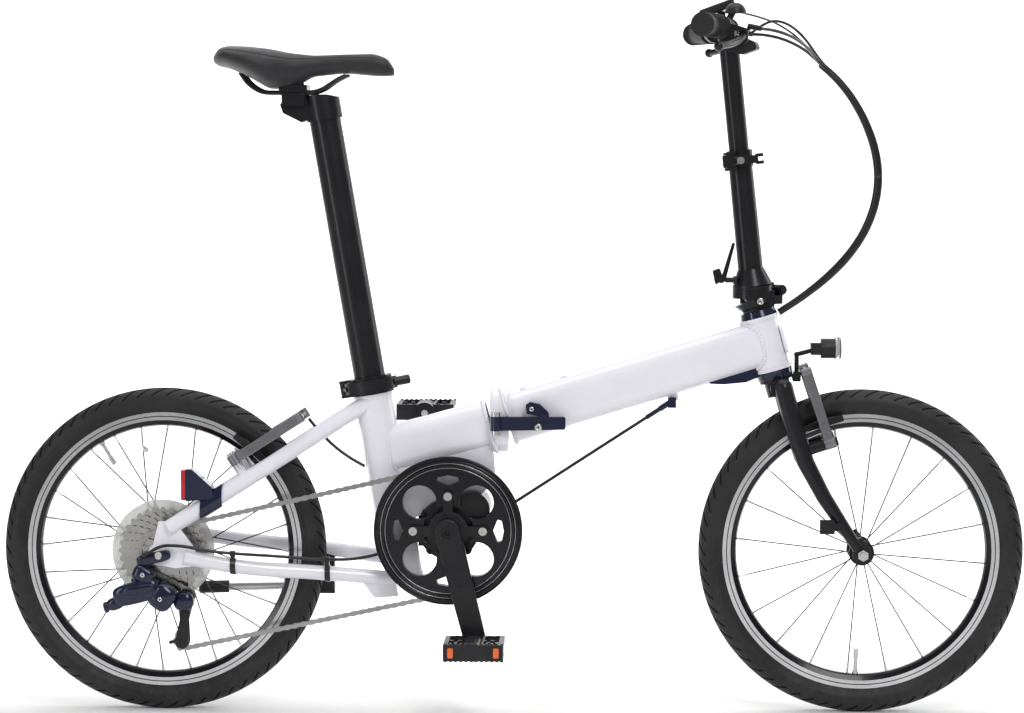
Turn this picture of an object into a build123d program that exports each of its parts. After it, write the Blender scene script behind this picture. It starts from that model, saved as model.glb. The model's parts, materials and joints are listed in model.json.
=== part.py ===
"""Electric folding bicycle with 20 inch wheels, as separate named pieces.

Frame of reference: +X is forward, +Y is the rider's left, +Z is up, and the
drive side faces -Y. The origin is on the ground, midway between the wheels.
"""
from build123d import *
import math
import os

os.makedirs("parts", exist_ok=True)

# ---------------------------------------------------------------- driving sizes (mm, degrees)
running_gap = 0.05          # radial, between a shaft and its bore
face_gap = 0.3              # between faces that pass each other

wheelbase = 1046.0
wheel_radius = 243.0        # over the tyre
tyre_width = 40.0
rim_radius = 207.0
rim_width = 25.0
rim_depth = 21.0
spoke_diameter = 2.0
nipple_diameter = 3.6
front_spoke_count = 20
rear_spoke_count = 28
front_hub_width = 100.0     # between the fork ends
rear_hub_width = 135.0      # between the rear dropouts
axle_diameter = 10.0

seat_tube_diameter = 57.0
seat_post_diameter = 47.0
seat_tube_lean = 9.7
seat_tube_foot = (-161.3, 0.0, 196.0)
seat_tube_length = 286.0
seat_post_length = 520.0
seat_post_top_z = 905.0

main_tube_height = 74.0
main_tube_width = 52.0
main_tube_wall = 2.6
main_tube_rear = (-182.0, 0.0, 393.0)
main_tube_seam = (-18.0, 0.0, 436.0)
main_tube_front = (372.0, 0.0, 554.0)
hinge_lug_thickness = 14.0
hinge_pin_diameter = 8.0
hinge_pin_y = 45.0

chain_stay_radius = 11.0
seat_stay_radius = 12.0

bottom_bracket = (-93.6, 0.0, 277.6)
crank_length = 170.0
crank_angle = 14.3          # of the right crank, forward of straight down
crank_width = 39.0
spindle_diameter = 19.0
chain_plane = -50.0
chain_pitch = 12.7
chainring_pitch_radius = 94.0
sprocket_pitch_radius = 32.5
guard_radius = 111.0
spider_radius = 52.0        # to the four chainring bolts
pedal_length = 96.0

steering_angle = 15.4       # of the steering axis, back from upright
head_tube_foot = (391.5, 0.0, 514.8)
head_tube_length = 82.6
head_tube_diameter = 52.0
steerer_diameter = 28.6

post_lean = 5.8             # of the handlepost, back from upright
post_foot = (359.5, 0.0, 636.0)
post_length = 205.0         # of the outer tube, up to its clamp
post_diameter = 38.0
inner_post_diameter = 30.0
bar_height = 388.0          # of the handlebar, along the post
bar_diameter = 22.2
bar_width = 560.0
bar_sweep = 44.0
grip_diameter = 33.0
grip_length = 120.0

# ---------------------------------------------------------------- shared shapes


def along(start, end):
    """Plane at start whose normal points to end."""
    return Plane(origin=Vector(start), z_dir=Vector(end) - Vector(start))


def distance(start, end):
    """Length of the straight line between two points."""
    return (Vector(end) - Vector(start)).length


def rod(start, end, radius):
    """Round bar between two points."""
    base = (Align.CENTER, Align.CENTER, Align.MIN)
    return along(start, end) * Cylinder(radius, distance(start, end), align=base)


def pipe(start, end, outer, inner):
    """Round tube between two points, open at both ends."""
    return rod(start, end, outer) - rod(start, end, inner)


def taper(start, end, start_radius, end_radius):
    """Round tapered bar between two points, or a plain one where its radii are equal."""
    if start_radius == end_radius:
        return rod(start, end, start_radius)
    base = (Align.CENTER, Align.CENTER, Align.MIN)
    return along(start, end) * Cone(start_radius, end_radius, distance(start, end), align=base)


def slab(x, y, z):
    """Box between two bounds along each axis."""
    size = (x[1] - x[0], y[1] - y[0], z[1] - z[0])
    middle = ((x[0] + x[1]) / 2, (y[0] + y[1]) / 2, (z[0] + z[1]) / 2)
    return Pos(*middle) * Box(*size)


def disc(x, z, radius, y):
    """Round disc about a crosswise axis, between two values of Y."""
    return rod((x, y[0], z), (x, y[1], z), radius)


def ring(x, z, outer, inner, y):
    """Flat ring about a crosswise axis, between two values of Y."""
    return disc(x, z, outer, y) - disc(x, z, inner, y)


def plate(points, y):
    """Flat plate with an outline in X and Z, between two values of Y."""
    side = Plane(origin=(0, y[1], 0), x_dir=(1, 0, 0), z_dir=(0, -1, 0))
    return extrude(side * make_face(Polyline(*points, close=True)), y[1] - y[0])


def rounded_plate(points, y, radius):
    """Flat plate whose outline has all its corners rounded by one radius."""
    side = Plane(origin=(0, y[1], 0), x_dir=(1, 0, 0), z_dir=(0, -1, 0))
    outline = make_face(FilletPolyline(*points, radius=radius, close=True))
    return extrude(side * outline, y[1] - y[0])


def spun(points, x, z):
    """Solid of revolution about a crosswise axis, from (Y, radius) points."""
    half = Plane(origin=(x, 0, z), x_dir=(0, 1, 0), z_dir=(1, 0, 0))
    profile = half * make_face(Polyline(*points, close=True))
    return revolve(profile, Axis((x, 0, z), (0, 1, 0)))


def swept_tube(path, radius):
    """Round solid along a path."""
    start = path @ 0
    section = Plane(origin=start, z_dir=path % 0) * Circle(radius)
    return sweep(section, path=path)


def bent_path(points, radii=None):
    """Straight runs joined by tangent arcs, as large as 0.45 of the shorter run allows."""
    if radii is None:
        radii = []
        for before, corner, after in zip(points, points[1:], points[2:]):
            arriving = Vector(corner) - Vector(before)
            leaving = Vector(after) - Vector(corner)
            turn = math.radians(arriving.get_angle(leaving))
            radii.append(0.45 * min(arriving.length, leaving.length) / math.tan(turn / 2))
    return FilletPolyline(*points, radius=radii)


def cord(name, points, radius):
    """Cable along a bent path, with its smallest arc and its volume printed."""
    path = bent_path(points)
    tube = swept_tube(path, radius)
    arcs = [edge.radius for edge in path.edges() if edge.geom_type == GeomType.CIRCLE]
    expected = math.pi * radius ** 2 * path.length
    print(name, "smallest arc", round(min(arcs)), "volume ratio", round(tube.volume / expected, 4))
    return tube


def save(name, *shapes):
    """Write the separate solids of one node to one file."""
    solids = [solid for shape in shapes for solid in shape.solids()]
    export_step(solids[0] if len(solids) == 1 else Compound(children=solids), f"parts/{name}.step")


def offset_point(start, direction, length):
    """Point at a length along a direction."""
    return tuple(Vector(start) + Vector(direction).normalized() * length)


# ---------------------------------------------------------------- places worked out from the sizes

rear_axle_x = -wheelbase / 2
front_axle_x = wheelbase / 2
axle_radius = axle_diameter / 2
steer_up = (-math.sin(math.radians(steering_angle)), 0.0, math.cos(math.radians(steering_angle)))
seat_up = (-math.sin(math.radians(seat_tube_lean)), 0.0, math.cos(math.radians(seat_tube_lean)))
post_up = (-math.sin(math.radians(post_lean)), 0.0, math.cos(math.radians(post_lean)))
bb_x, _, bb_z = bottom_bracket
crank_turn = math.radians(crank_angle)
pedal_offset = (crank_length * math.sin(crank_turn), -crank_length * math.cos(crank_turn))
right_pedal_at = (bb_x + pedal_offset[0], bb_z + pedal_offset[1])
left_pedal_at = (bb_x - pedal_offset[0], bb_z - pedal_offset[1])
crank_inner = 68.2          # from the middle plane to the inner face of each crank
crank_outer = 82.0

# ---------------------------------------------------------------- wheels


def tyre(x):
    """Tyre with a round section that grips the rim with a square bead."""
    bead = rim_width / 2 - 3.0
    flank = rim_width / 2 + 0.3
    middle = wheel_radius - tyre_width / 2
    shoulder = rim_radius + face_gap
    seat = rim_radius - 7.4
    half = tyre_width / 2
    touch = middle - math.sqrt(half ** 2 - flank ** 2)
    section = [
        Line((-bead, seat), (-bead, shoulder)),
        Line((-bead, shoulder), (-flank, max(touch, shoulder))),
        ThreePointArc((-flank, max(touch, shoulder)), (-half, middle), (0, wheel_radius)),
        ThreePointArc((0, wheel_radius), (half, middle), (flank, max(touch, shoulder))),
        Line((flank, max(touch, shoulder)), (bead, shoulder)),
        Line((bead, shoulder), (bead, seat)),
        Line((bead, seat), (-bead, seat)),
    ]
    half_plane = Plane(origin=(x, 0, wheel_radius), x_dir=(0, 1, 0), z_dir=(1, 0, 0))
    return revolve(half_plane * make_face(section), Axis((x, 0, wheel_radius), (0, 1, 0)))


def rim(x):
    """Deep rim with two brake tracks and a bed for the tyre."""
    half = rim_width / 2
    bed = rim_radius - 7.5
    inner = rim_radius - rim_depth
    wall = half - 2.9
    outline = [
        (-half, rim_radius), (-wall, rim_radius), (-wall, bed), (wall, bed),
        (wall, rim_radius), (half, rim_radius), (half, rim_radius - 12), (half - 3, inner + 2),
        (half - 8, inner), (8 - half, inner), (3 - half, inner + 2), (-half, rim_radius - 12),
    ]
    return spun(outline, x, wheel_radius)


def valve(x, angle):
    """Valve stem that stands on the inner face of the rim."""
    inner = rim_radius - rim_depth
    direction = (math.cos(math.radians(angle)), 0, math.sin(math.radians(angle)))
    centre = (x, 0, wheel_radius)
    foot = offset_point(centre, direction, inner - 0.2)
    collar = offset_point(centre, direction, inner - 4)
    shoulder = offset_point(centre, direction, inner - 24)
    tip = offset_point(centre, direction, inner - 38)
    return rod(foot, collar, 4.5) + rod(collar, shoulder, 3.0) + rod(shoulder, tip, 3.9)


def spoke(x, hub_angle, hub_radius, hub_y, rim_angle, rim_y):
    """One spoke, and the nipple that carries it in the rim."""
    def place(angle, radius, y):
        turn = math.radians(angle)
        return (x + radius * math.cos(turn), y, wheel_radius + radius * math.sin(turn))
    inner = rim_radius - rim_depth
    start = place(hub_angle, hub_radius, hub_y)
    seat = place(rim_angle, inner - 0.4, rim_y)
    nipple_length = 11.0
    joint = tuple(Vector(seat) + (Vector(start) - Vector(seat)).normalized() * nipple_length)
    return rod(start, joint, spoke_diameter / 2), rod(joint, seat, nipple_diameter / 2)


def hub(x, width, flange_radius, flange_y, flange_thickness, body_radius):
    """Hub shell with two flanges, bored for its axle."""
    inner = flange_y - flange_thickness / 2
    outer = flange_y + flange_thickness / 2
    end = width / 2 - 6.0
    bore = axle_radius + running_gap
    half = [(0, body_radius), (inner, body_radius + 2), (inner, flange_radius),
            (outer, flange_radius), (outer, body_radius + 3), (end, body_radius)]
    other = [(-y, radius) for y, radius in reversed(half[1:])]
    return spun(half + [(end, bore), (-end, bore)] + other, x, wheel_radius)


front_flange_radius = 19.0
front_flange_y = 27.0
rear_flange_radius = 26.0
rear_flange_y = 24.0


def front_wheel():
    """Front tyre, rim, radial spokes and hub."""
    save("front_tyre", tyre(front_axle_x))
    save("front_rim", rim(front_axle_x), valve(front_axle_x, -92.0))
    step = 360.0 / front_spoke_count
    pieces = []
    for number in range(front_spoke_count):
        angle = -5.6 + number * step
        side = 1 if number % 2 else -1
        pieces += spoke(front_axle_x, angle, front_flange_radius + 0.3, side * front_flange_y,
                        angle, side * 2.5)
    save("front_spokes", *pieces)
    save("front_hub", hub(front_axle_x, front_hub_width, front_flange_radius, front_flange_y, 4.0, 12.0))


def rear_wheel():
    """Rear tyre, rim, crossed spokes, hub and the clear disc that guards the spokes."""
    save("rear_tyre", tyre(rear_axle_x))
    save("rear_rim", rim(rear_axle_x), valve(rear_axle_x, 121.0))
    step = 360.0 / rear_spoke_count
    crossing = 62.0
    pieces = []
    for number in range(rear_spoke_count):
        rim_angle = 88.5 + number * step
        side = 1 if number % 2 else -1
        leading = 1 if number % 4 < 2 else -1
        hub_y = side * (rear_flange_y + 2.2 * leading)
        rim_y = side * (3.0 + 1.6 * leading)
        hub_angle = rim_angle + leading * crossing
        pieces += spoke(rear_axle_x, hub_angle, rear_flange_radius + 1.1, hub_y, rim_angle, rim_y)
    save("rear_spokes", *pieces)
    save("rear_hub", hub(rear_axle_x, 2 * 36.0, rear_flange_radius, rear_flange_y, 7.0, 15.0))
    save("spoke_protector", ring(rear_axle_x, wheel_radius, 77.0, 18.3, (-29.6, -28.0)))


# ---------------------------------------------------------------- drivetrain

cassette_radii = (64.0, 56.0, 48.0, 40.0, sprocket_pitch_radius, 27.0, 22.5)
sprocket_spacing = 4.2
sprocket_thickness = 1.8
roller_radius = 3.85
chain_half_height = 4.2
chain_inner_half = 1.7
chain_outer_half = 3.3
jockey_radius = 14.0        # chain pitch radius on the two small pulleys
upper_jockey = (-486.0, 176.0)
lower_jockey = (-492.0, 109.0)


def signed_tangent(first, second):
    """Direction of the run that leaves the first circle and meets the second.

    A circle is (x, z, radius), with a negative radius where the loop turns clockwise.
    """
    rise = math.atan2(second[1] - first[1], second[0] - first[0])
    span = math.hypot(second[0] - first[0], second[1] - first[1])
    return rise + math.asin((first[2] - second[2]) / span)


def chain_circles(offset):
    """The four circles that the chain goes round, offset outwards from its pitch line."""
    ring_circle = (bb_x, bb_z, chainring_pitch_radius + offset)
    sprocket = (rear_axle_x, wheel_radius, sprocket_pitch_radius + offset)
    upper = (*upper_jockey, offset - jockey_radius)
    lower = (*lower_jockey, jockey_radius + offset)
    return [ring_circle, sprocket, upper, lower]


def loop_stations(offset):
    """Arrival and departure angles of the loop on each of its circles."""
    circles = chain_circles(offset)
    stations = []
    for number, circle in enumerate(circles):
        arriving = signed_tangent(circles[number - 1], circle) - math.pi / 2
        leaving = signed_tangent(circle, circles[(number + 1) % 4]) - math.pi / 2
        if circle[2] < 0:
            arriving, leaving = arriving + math.pi, leaving + math.pi
            while leaving > arriving:
                leaving -= 2 * math.pi
            while leaving < arriving - 2 * math.pi:
                leaving += 2 * math.pi
        else:
            while leaving < arriving:
                leaving += 2 * math.pi
            while leaving > arriving + 2 * math.pi:
                leaving -= 2 * math.pi
        stations.append((circle[0], circle[1], abs(circle[2]), arriving, leaving))
    return stations


def loop_face(offset, y):
    """Face inside the loop that runs at one offset from the pitch line."""
    def at(station, angle):
        return (station[0] + station[2] * math.cos(angle), y, station[1] + station[2] * math.sin(angle))
    edges = []
    stations = loop_stations(offset)
    for number, station in enumerate(stations):
        following = stations[(number + 1) % 4]
        middle = (station[3] + station[4]) / 2
        edges.append(ThreePointArc(at(station, station[3]), at(station, middle), at(station, station[4])))
        edges.append(Line(at(station, station[4]), at(following, following[3])))
    return make_face(edges)


def loop_points(spacing):
    """Evenly spaced points on the pitch line, as near to the spacing as a whole number allows."""
    stations = loop_stations(0.0)
    runs = []
    for number, (x, z, radius, arriving, leaving) in enumerate(stations):
        following = stations[(number + 1) % 4]
        runs.append(("arc", radius * abs(leaving - arriving), (x, z, radius, arriving, leaving)))
        start = (x + radius * math.cos(leaving), z + radius * math.sin(leaving))
        end = (following[0] + following[2] * math.cos(following[3]),
               following[1] + following[2] * math.sin(following[3]))
        runs.append(("line", math.dist(start, end), (start, end)))
    total = sum(run[1] for run in runs)
    count = round(total / spacing)
    points = []
    for number in range(count):
        left = number * total / count
        for kind, length, data in runs:
            if left <= length:
                break
            left -= length
        share = left / length
        if kind == "arc":
            x, z, radius, arriving, leaving = data
            angle = arriving + share * (leaving - arriving)
            points.append((x + radius * math.cos(angle), z + radius * math.sin(angle)))
        else:
            start, end = data
            points.append((start[0] + share * (end[0] - start[0]), start[1] + share * (end[1] - start[1])))
    return points


def chain():
    """Closed chain: two rows of side plates held apart by rollers one pitch apart."""
    band = []
    for low, high in ((-chain_outer_half, -chain_inner_half), (chain_inner_half, chain_outer_half)):
        outer = extrude(loop_face(chain_half_height, chain_plane + low), high - low, dir=(0, 1, 0))
        inner = extrude(loop_face(-chain_half_height, chain_plane + low - 1), high - low + 2, dir=(0, 1, 0))
        band.append(outer - inner)
    width = (chain_plane - chain_outer_half + 0.4, chain_plane + chain_outer_half - 0.4)
    rollers = [disc(x, z, roller_radius, width) for x, z in loop_points(chain_pitch)]
    save("chain", band[0].fuse(band[1], *rollers))


def toothed(radius, y, tooth_height):
    """Sprocket with one tooth each chain pitch, centred on the rear axle."""
    count = round(2 * math.pi * radius / chain_pitch)
    points = []
    for tooth in range(count):
        for share, height in ((-0.42, -2.2), (-0.18, tooth_height), (0.10, tooth_height), (0.34, -2.2)):
            turn = 2 * math.pi * (tooth + share) / count
            points.append(((radius + height) * math.cos(turn), (radius + height) * math.sin(turn)))
    outline = [(rear_axle_x + px, wheel_radius + pz) for px, pz in points]
    return plate(outline, y)


def cassette():
    """Seven sprockets, their spacers, and the freehub body that they turn on."""
    first = chain_plane + sprocket_spacing * cassette_radii.index(sprocket_pitch_radius)
    core_radius = 17.0
    bore = axle_radius + running_gap
    last = first - sprocket_spacing * (len(cassette_radii) - 1)
    core = ring(rear_axle_x, wheel_radius, core_radius, bore, (last - 2.5, first + 1.4))
    pieces = [core]
    for number, radius in enumerate(cassette_radii):
        y = first - number * sprocket_spacing
        faces = (y - sprocket_thickness / 2, y + sprocket_thickness / 2)
        hole = disc(rear_axle_x, wheel_radius, core_radius + running_gap, (y - 3, y + 3))
        if radius == sprocket_pitch_radius:
            blank = disc(rear_axle_x, wheel_radius, radius - roller_radius - 0.6, faces)
        else:
            blank = toothed(radius, faces, 2.4)
        sprocket = blank - hole
        if radius > 45:
            for angle in range(0, 360, 36):
                turn = math.radians(angle + 9 * number)
                reach = (core_radius + radius) / 2
                spot = (rear_axle_x + reach * math.cos(turn), wheel_radius + reach * math.sin(turn))
                sprocket -= disc(*spot, (radius - core_radius) / 5, (y - 3, y + 3))
        pieces.append(sprocket)
        if number:
            spacer = (faces[1] + 0.1, y + sprocket_spacing - sprocket_thickness / 2 - 0.1)
            pieces.append(ring(rear_axle_x, wheel_radius, core_radius + 3, core_radius + running_gap, spacer))
    save("cassette", *pieces)


def jockey(name, centre):
    """Small toothed pulley that guides the chain."""
    x, z = centre
    faces = (chain_plane - 1.1, chain_plane + 1.1)
    wheel = disc(x, z, jockey_radius - roller_radius - 0.6, faces)
    wheel += ring(x, z, 6.5, 2.5, (chain_plane - 3.0, chain_plane + 3.0))
    save(name, wheel - disc(x, z, 2.5 + running_gap, (chain_plane - 4, chain_plane + 4)))


guard_faces = ((-58.6, -56.0), (-45.2, -43.4))
ring_faces = (chain_plane - 1.0, chain_plane + 1.0)
spider_faces = (-66.0, -58.7)


def ring_windows(y):
    """Four large and four small openings between the arms of a chainring or guard."""
    cutters = []
    for quarter in range(4):
        middle = math.radians(45 + 90 * quarter)
        spot = (bb_x + 60 * math.cos(middle), bb_z + 60 * math.sin(middle))
        cutters.append(disc(*spot, 25.5, y))
        across = math.radians(90 * quarter)
        small = [(74, -17), (80, -15), (83, 0), (80, 15), (74, 17), (67, 0)]
        outline = [
            (bb_x + out * math.cos(across) - side * math.sin(across),
             bb_z + out * math.sin(across) + side * math.cos(across))
            for out, side in small
        ]
        cutters.append(plate(outline, y))
    return cutters


def spider_bolt_places():
    """Centres of the four chainring bolts."""
    for quarter in range(4):
        turn = math.radians(90 * quarter)
        yield bb_x + spider_radius * math.cos(turn), bb_z + spider_radius * math.sin(turn)


def chainring_set():
    """Toothed ring and the two round guards that cover the chain on both sides."""
    bolt_radius = 4.0
    def drilled(shape, y):
        for cutter in ring_windows(y):
            shape -= cutter
        for x, z in spider_bolt_places():
            shape -= disc(x, z, bolt_radius + running_gap, y)
        return shape
    cut = (-70.0, -40.0)
    outer = ring(bb_x, bb_z, guard_radius, 38.0, guard_faces[0])
    for groove in (101.0, 88.0):
        outer -= ring(bb_x, bb_z, groove + 0.7, groove - 0.7, (guard_faces[0][0], guard_faces[0][0] + 0.5))
    inner = ring(bb_x, bb_z, guard_radius - 1, 38.0, guard_faces[1])
    toothless = ring(bb_x, bb_z, chainring_pitch_radius - roller_radius - 0.6, 38.0, ring_faces)
    bolts = []
    for x, z in spider_bolt_places():
        bolt = disc(x, z, bolt_radius, (-67.0, -41.5)) + disc(x, z, 6.2, (-67.6, -66.1))
        bolt -= disc(x, z, 2.4, (-68, -65.6))
        spacers = [ring(x, z, 7.0, bolt_radius, (guard_faces[0][1] + 0.05, ring_faces[0] - 0.05)),
                   ring(x, z, 7.0, bolt_radius, (ring_faces[1] + 0.05, guard_faces[1][0] - 0.05))]
        nut = disc(x, z, 6.2, (-43.3, -41.5))
        bolts.append(bolt.fuse(*spacers, nut))
    save("chainring_guards", drilled(outer, cut), drilled(inner, cut))
    save("chainring", drilled(toothless, cut), *bolts)


def crank_arm(side):
    """Forged arm from the spindle to the pedal, on one side (-1 right, 1 left)."""
    near, far = sorted((side * crank_inner, side * crank_outer))
    end = right_pedal_at if side < 0 else left_pedal_at
    direction = math.atan2(end[1] - bb_z, end[0] - bb_x)
    across = (-math.sin(direction), math.cos(direction))
    hub_half = crank_width / 2
    toe_half = crank_width / 2 - 3.0
    start = [(bb_x + s * hub_half * across[0], bb_z + s * hub_half * across[1]) for s in (1, -1)]
    finish = [(end[0] + s * toe_half * across[0], end[1] + s * toe_half * across[1]) for s in (-1, 1)]
    arm = plate(start + finish, (near, far))
    arm += disc(bb_x, bb_z, hub_half, (near, far))
    arm += disc(*end, toe_half, (near, far))
    outer_edges = arm.edges().filter_by_position(Axis.Y, side * crank_outer - 0.01, side * crank_outer + 0.01)
    arm = fillet(outer_edges, 2.5)
    arm -= disc(bb_x, bb_z, spindle_diameter / 2 + running_gap, (near - 1, far + 1))
    return arm - disc(*end, 5.0 + running_gap, (near - 1, far + 1))


def cranks():
    """Both crank arms, the right one with its four-armed spider, and the spindle."""
    spider = disc(bb_x, bb_z, 30.0, spider_faces)
    for x, z in spider_bolt_places():
        arm = rod((bb_x, 0, bb_z), (x, 0, z), 8.0) & slab((bb_x - 99, bb_x + 99), (-9, 9), (bb_z - 99, bb_z + 99))
        spider += Pos(0, (spider_faces[0] + spider_faces[1]) / 2, 0) * (
            arm & slab((bb_x - 99, bb_x + 99), (-3.65, 3.65), (bb_z - 99, bb_z + 99)))
        spider += disc(x, z, 9.0, spider_faces)
        spider -= disc(x, z, 4.0 + running_gap, (-70, -50))
    spider -= disc(bb_x, bb_z, spindle_diameter / 2 + running_gap, (-70, -50))
    right = crank_arm(-1)
    boss = ring(bb_x, bb_z, 24.0, spindle_diameter / 2 + running_gap, (-crank_inner - 0.2, spider_faces[0] + 0.2))
    save("right_crank", right + boss + spider)
    save("left_crank", crank_arm(1))
    ends = crank_outer - 3.0
    spindle = disc(bb_x, bb_z, spindle_diameter / 2, (-ends, ends))
    for side in (-1, 1):
        face = sorted((side * (ends - 6), side * (ends + 1)))
        spindle -= disc(bb_x, bb_z, 5.0, face)
    axles = []
    for side, (x, z) in ((-1, right_pedal_at), (1, left_pedal_at)):
        inside = side * (crank_inner + 1)
        outside = side * (crank_outer + pedal_length - 6)
        shaft = rod((x, inside, z), (x, outside, z), 5.0)
        collar = sorted((side * (crank_outer + 0.2), side * (crank_outer + 3.5)))
        axles.append(shaft + disc(x, z, 7.5, collar))
    save("crank_and_pedal_axles", spindle, *axles)


def pedal(name, side, centre):
    """Platform pedal: barrel, cage with bars, and a pair of reflectors at each end."""
    x, z = centre
    low, high = sorted((side * (crank_outer + 4.0), side * (crank_outer + pedal_length)))
    half = 44.0
    thick = 12.0
    cage = slab((x - half, x + half), (low, high), (z - thick, z + thick))
    for direction in (-1, 1):
        hole = sorted((x + direction * 15, x + direction * (half - 7)))
        cage -= slab(hole, (low + 7, (low + high) / 2 - 3), (z - 20, z + 20))
        cage -= slab(hole, ((low + high) / 2 + 3, high - 7), (z - 20, z + 20))
        edge = sorted((x + direction * (half - 2.5), x + direction * (half + 1)))
        cage -= slab(edge, (low + 18, high - 18), (z - 7, z + 7))
    for spot in (x - 30, x - 18, x + 6, x + 18, x + 30):
        for level in (-1, 1):
            notch = sorted((z + level * (thick - 3), z + level * (thick + 1)))
            cage -= slab((spot, spot + 6), (low + 1.5, high - 1.5), notch)
    cage += disc(x, z, 12.5, (low, high))
    bore = sorted((side * crank_outer, side * (crank_outer + pedal_length - 5.7)))
    cage -= disc(x, z, 5.0 + running_gap, bore)
    pieces = [cage]
    for direction in (-1, 1):
        lens = sorted((x + direction * (half - 2.3), x + direction * (half + 0.4)))
        pieces.append(slab(lens, (low + 18.2, high - 18.2), (z - 6.8, z + 6.8)))
    save(name, *pieces)


# ---------------------------------------------------------------- rear half of the frame


def main_tube(start, end, end_height):
    """Hollow frame tube whose height tapers towards its end."""
    def bar(inset):
        shapes = []
        for point, height in ((start, main_tube_height), (end, end_height)):
            plane = Plane(origin=point, x_dir=(0, 1, 0), z_dir=Vector(end) - Vector(start))
            size = (main_tube_width - 2 * inset, height - 2 * inset)
            shapes.append(plane * RectangleRounded(*size, 22.0 - inset))
        return loft(shapes)
    return bar(0.0), bar(main_tube_wall)


def hinge_lug(x):
    """Rounded plate at one side of the frame hinge."""
    face = Plane(origin=(x[0], 0, main_tube_seam[2] + 3), x_dir=(0, 1, 0), z_dir=(1, 0, 0))
    lug = extrude(face * RectangleRounded(68.0, 96.0, 24.0), x[1] - x[0])
    outer = lug.edges().group_by(Axis.X)[0] if x[0] < main_tube_seam[0] - 1 else lug.edges().group_by(Axis.X)[-1]
    return fillet(outer, 5.0)


knuckle_radius = 9.0
knuckle_levels = ((-34.0, -16.0), (-15.7, 15.7), (16.0, 34.0))


def knuckle(level, x):
    """Eye round the frame hinge pin, and the web that carries it."""
    z = [main_tube_seam[2] + height for height in level]
    eye = rod((main_tube_seam[0], hinge_pin_y, z[0]), (main_tube_seam[0], hinge_pin_y, z[1]), knuckle_radius)
    web = slab(x, (24.0, hinge_pin_y), z)
    bore = hinge_pin_diameter / 2 + running_gap
    hole = rod((main_tube_seam[0], hinge_pin_y, z[0] - 1), (main_tube_seam[0], hinge_pin_y, z[1] + 1), bore)
    return eye + web - hole


def seat_point(height, side=0.0, back=0.0):
    """Point on the seat tube axis at a height above its foot, moved sideways or back."""
    point = Vector(seat_tube_foot) + Vector(seat_up) * height
    return (point.X - back * seat_up[2], side, point.Z + back * seat_up[0])


seat_radius = seat_tube_diameter / 2
post_radius = seat_post_diameter / 2
motor_radius = 46.0
motor_cap = (-59.0, 307.0)
motor_cap_radius = 27.0
motor_half_width = 36.0
motor_lugs = ((-121, 246), (-128, 300), (-66, 246))


def motor_outline(extra):
    """Round motor case and its forward cap, grown by a small clearance."""
    reach = motor_half_width + extra
    case = disc(bb_x, bb_z, motor_radius + extra, (-reach, reach))
    case += disc(*motor_cap, motor_cap_radius + extra, (-reach - 3, reach + 2))
    case += slab((-140 - extra, -110), (-18 - extra, 18 + extra), (250, 300 + extra))
    for x, z in motor_lugs:
        case += disc(x, z, 7.0 + extra, (-34 - extra, 34 + extra))
    return case


def seat_tube_body():
    """Outside of the seat tube, with a thicker lip at both ends."""
    tube = rod(seat_point(0), seat_point(seat_tube_length), seat_radius)
    tube += taper(seat_point(seat_tube_length - 14), seat_point(seat_tube_length), seat_radius, seat_radius + 1.5)
    return tube + rod(seat_point(0), seat_point(9), seat_radius + 1.5)


def rear_frame():
    """Seat tube, rear main tube, hinge lug and the casting that carries the motor."""
    outer, inner = main_tube(main_tube_rear, offset_point(main_tube_seam, (-1, 0, -0.262), hinge_lug_thickness),
                             main_tube_height)
    seat_tube = seat_tube_body()
    lug = hinge_lug((main_tube_seam[0] - hinge_lug_thickness, main_tube_seam[0] - 0.1))
    web = (main_tube_seam[0] - hinge_lug_thickness, main_tube_seam[0] - 0.1)
    casting = rounded_plate([(-185, 330), (-170, 392), (-34, 420), (-26, 385), (-24, 348),
                             (-44, 330), (-93, 318), (-150, 290)], (-21, 21), 5.0)
    frame = outer + casting + lug + knuckle(knuckle_levels[1], web)
    frame -= inner
    frame += seat_tube
    for number in (0, 2):
        low, high = (main_tube_seam[2] + height for height in knuckle_levels[number])
        place = (main_tube_seam[0], hinge_pin_y)
        frame -= rod((*place, low - 1), (*place, high + 1), knuckle_radius + face_gap)
    frame -= rod(seat_point(-5), seat_point(seat_tube_length + 5), post_radius + running_gap)
    frame -= motor_outline(0.1)
    save("rear_frame", frame)
    return seat_tube


def dropout(side):
    """Flat plate that holds one end of the rear axle."""
    inner = side * rear_hub_width / 2
    faces = sorted((inner, inner + side * 6.0))
    plate_shape = plate([(-534, 250), (-524, 292), (-500, 292), (-472, 254), (-462, 226), (-500, 222),
                         (-530, 228)], faces)
    plate_shape += disc(rear_axle_x, wheel_radius, 17.0, faces)
    return plate_shape - disc(rear_axle_x, wheel_radius, axle_radius + running_gap, (faces[0] - 1, faces[1] + 1))


stay_foot_y = rear_hub_width / 2 + 3.0
rear_brake_pivot = (-414.0, 382.0)
rear_brake_top = (-316.0, 444.0)
front_brake_pivot = (474.0, 409.0)
front_brake_top = (439.0, 515.0)
brake_boss_y = 46.0
brake_boss_radius = 4.0


def brake_axis(pivot, top):
    """Direction of a brake boss, square to its arm, pointing away from the frame."""
    span = math.dist(pivot, top)
    across = ((top[1] - pivot[1]) / span, (pivot[0] - top[0]) / span)
    sign = 1 if pivot[0] > 0 else -1
    return (sign * across[0], 0.0, sign * across[1])


def brake_boss(pivot, top, side, reach):
    """Round boss from a stay or blade, with the thin pin that the brake arm turns on."""
    axis = brake_axis(pivot, top)
    middle = (pivot[0], side * brake_boss_y, pivot[1])
    back = offset_point(middle, axis, -reach)
    seat = offset_point(middle, axis, -8.3)
    tip = offset_point(middle, axis, 8.4)
    head = offset_point(middle, axis, 12.0)
    return rod(back, seat, 8.0) + rod(seat, tip, brake_boss_radius) + rod(tip, head, 6.5)


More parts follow.
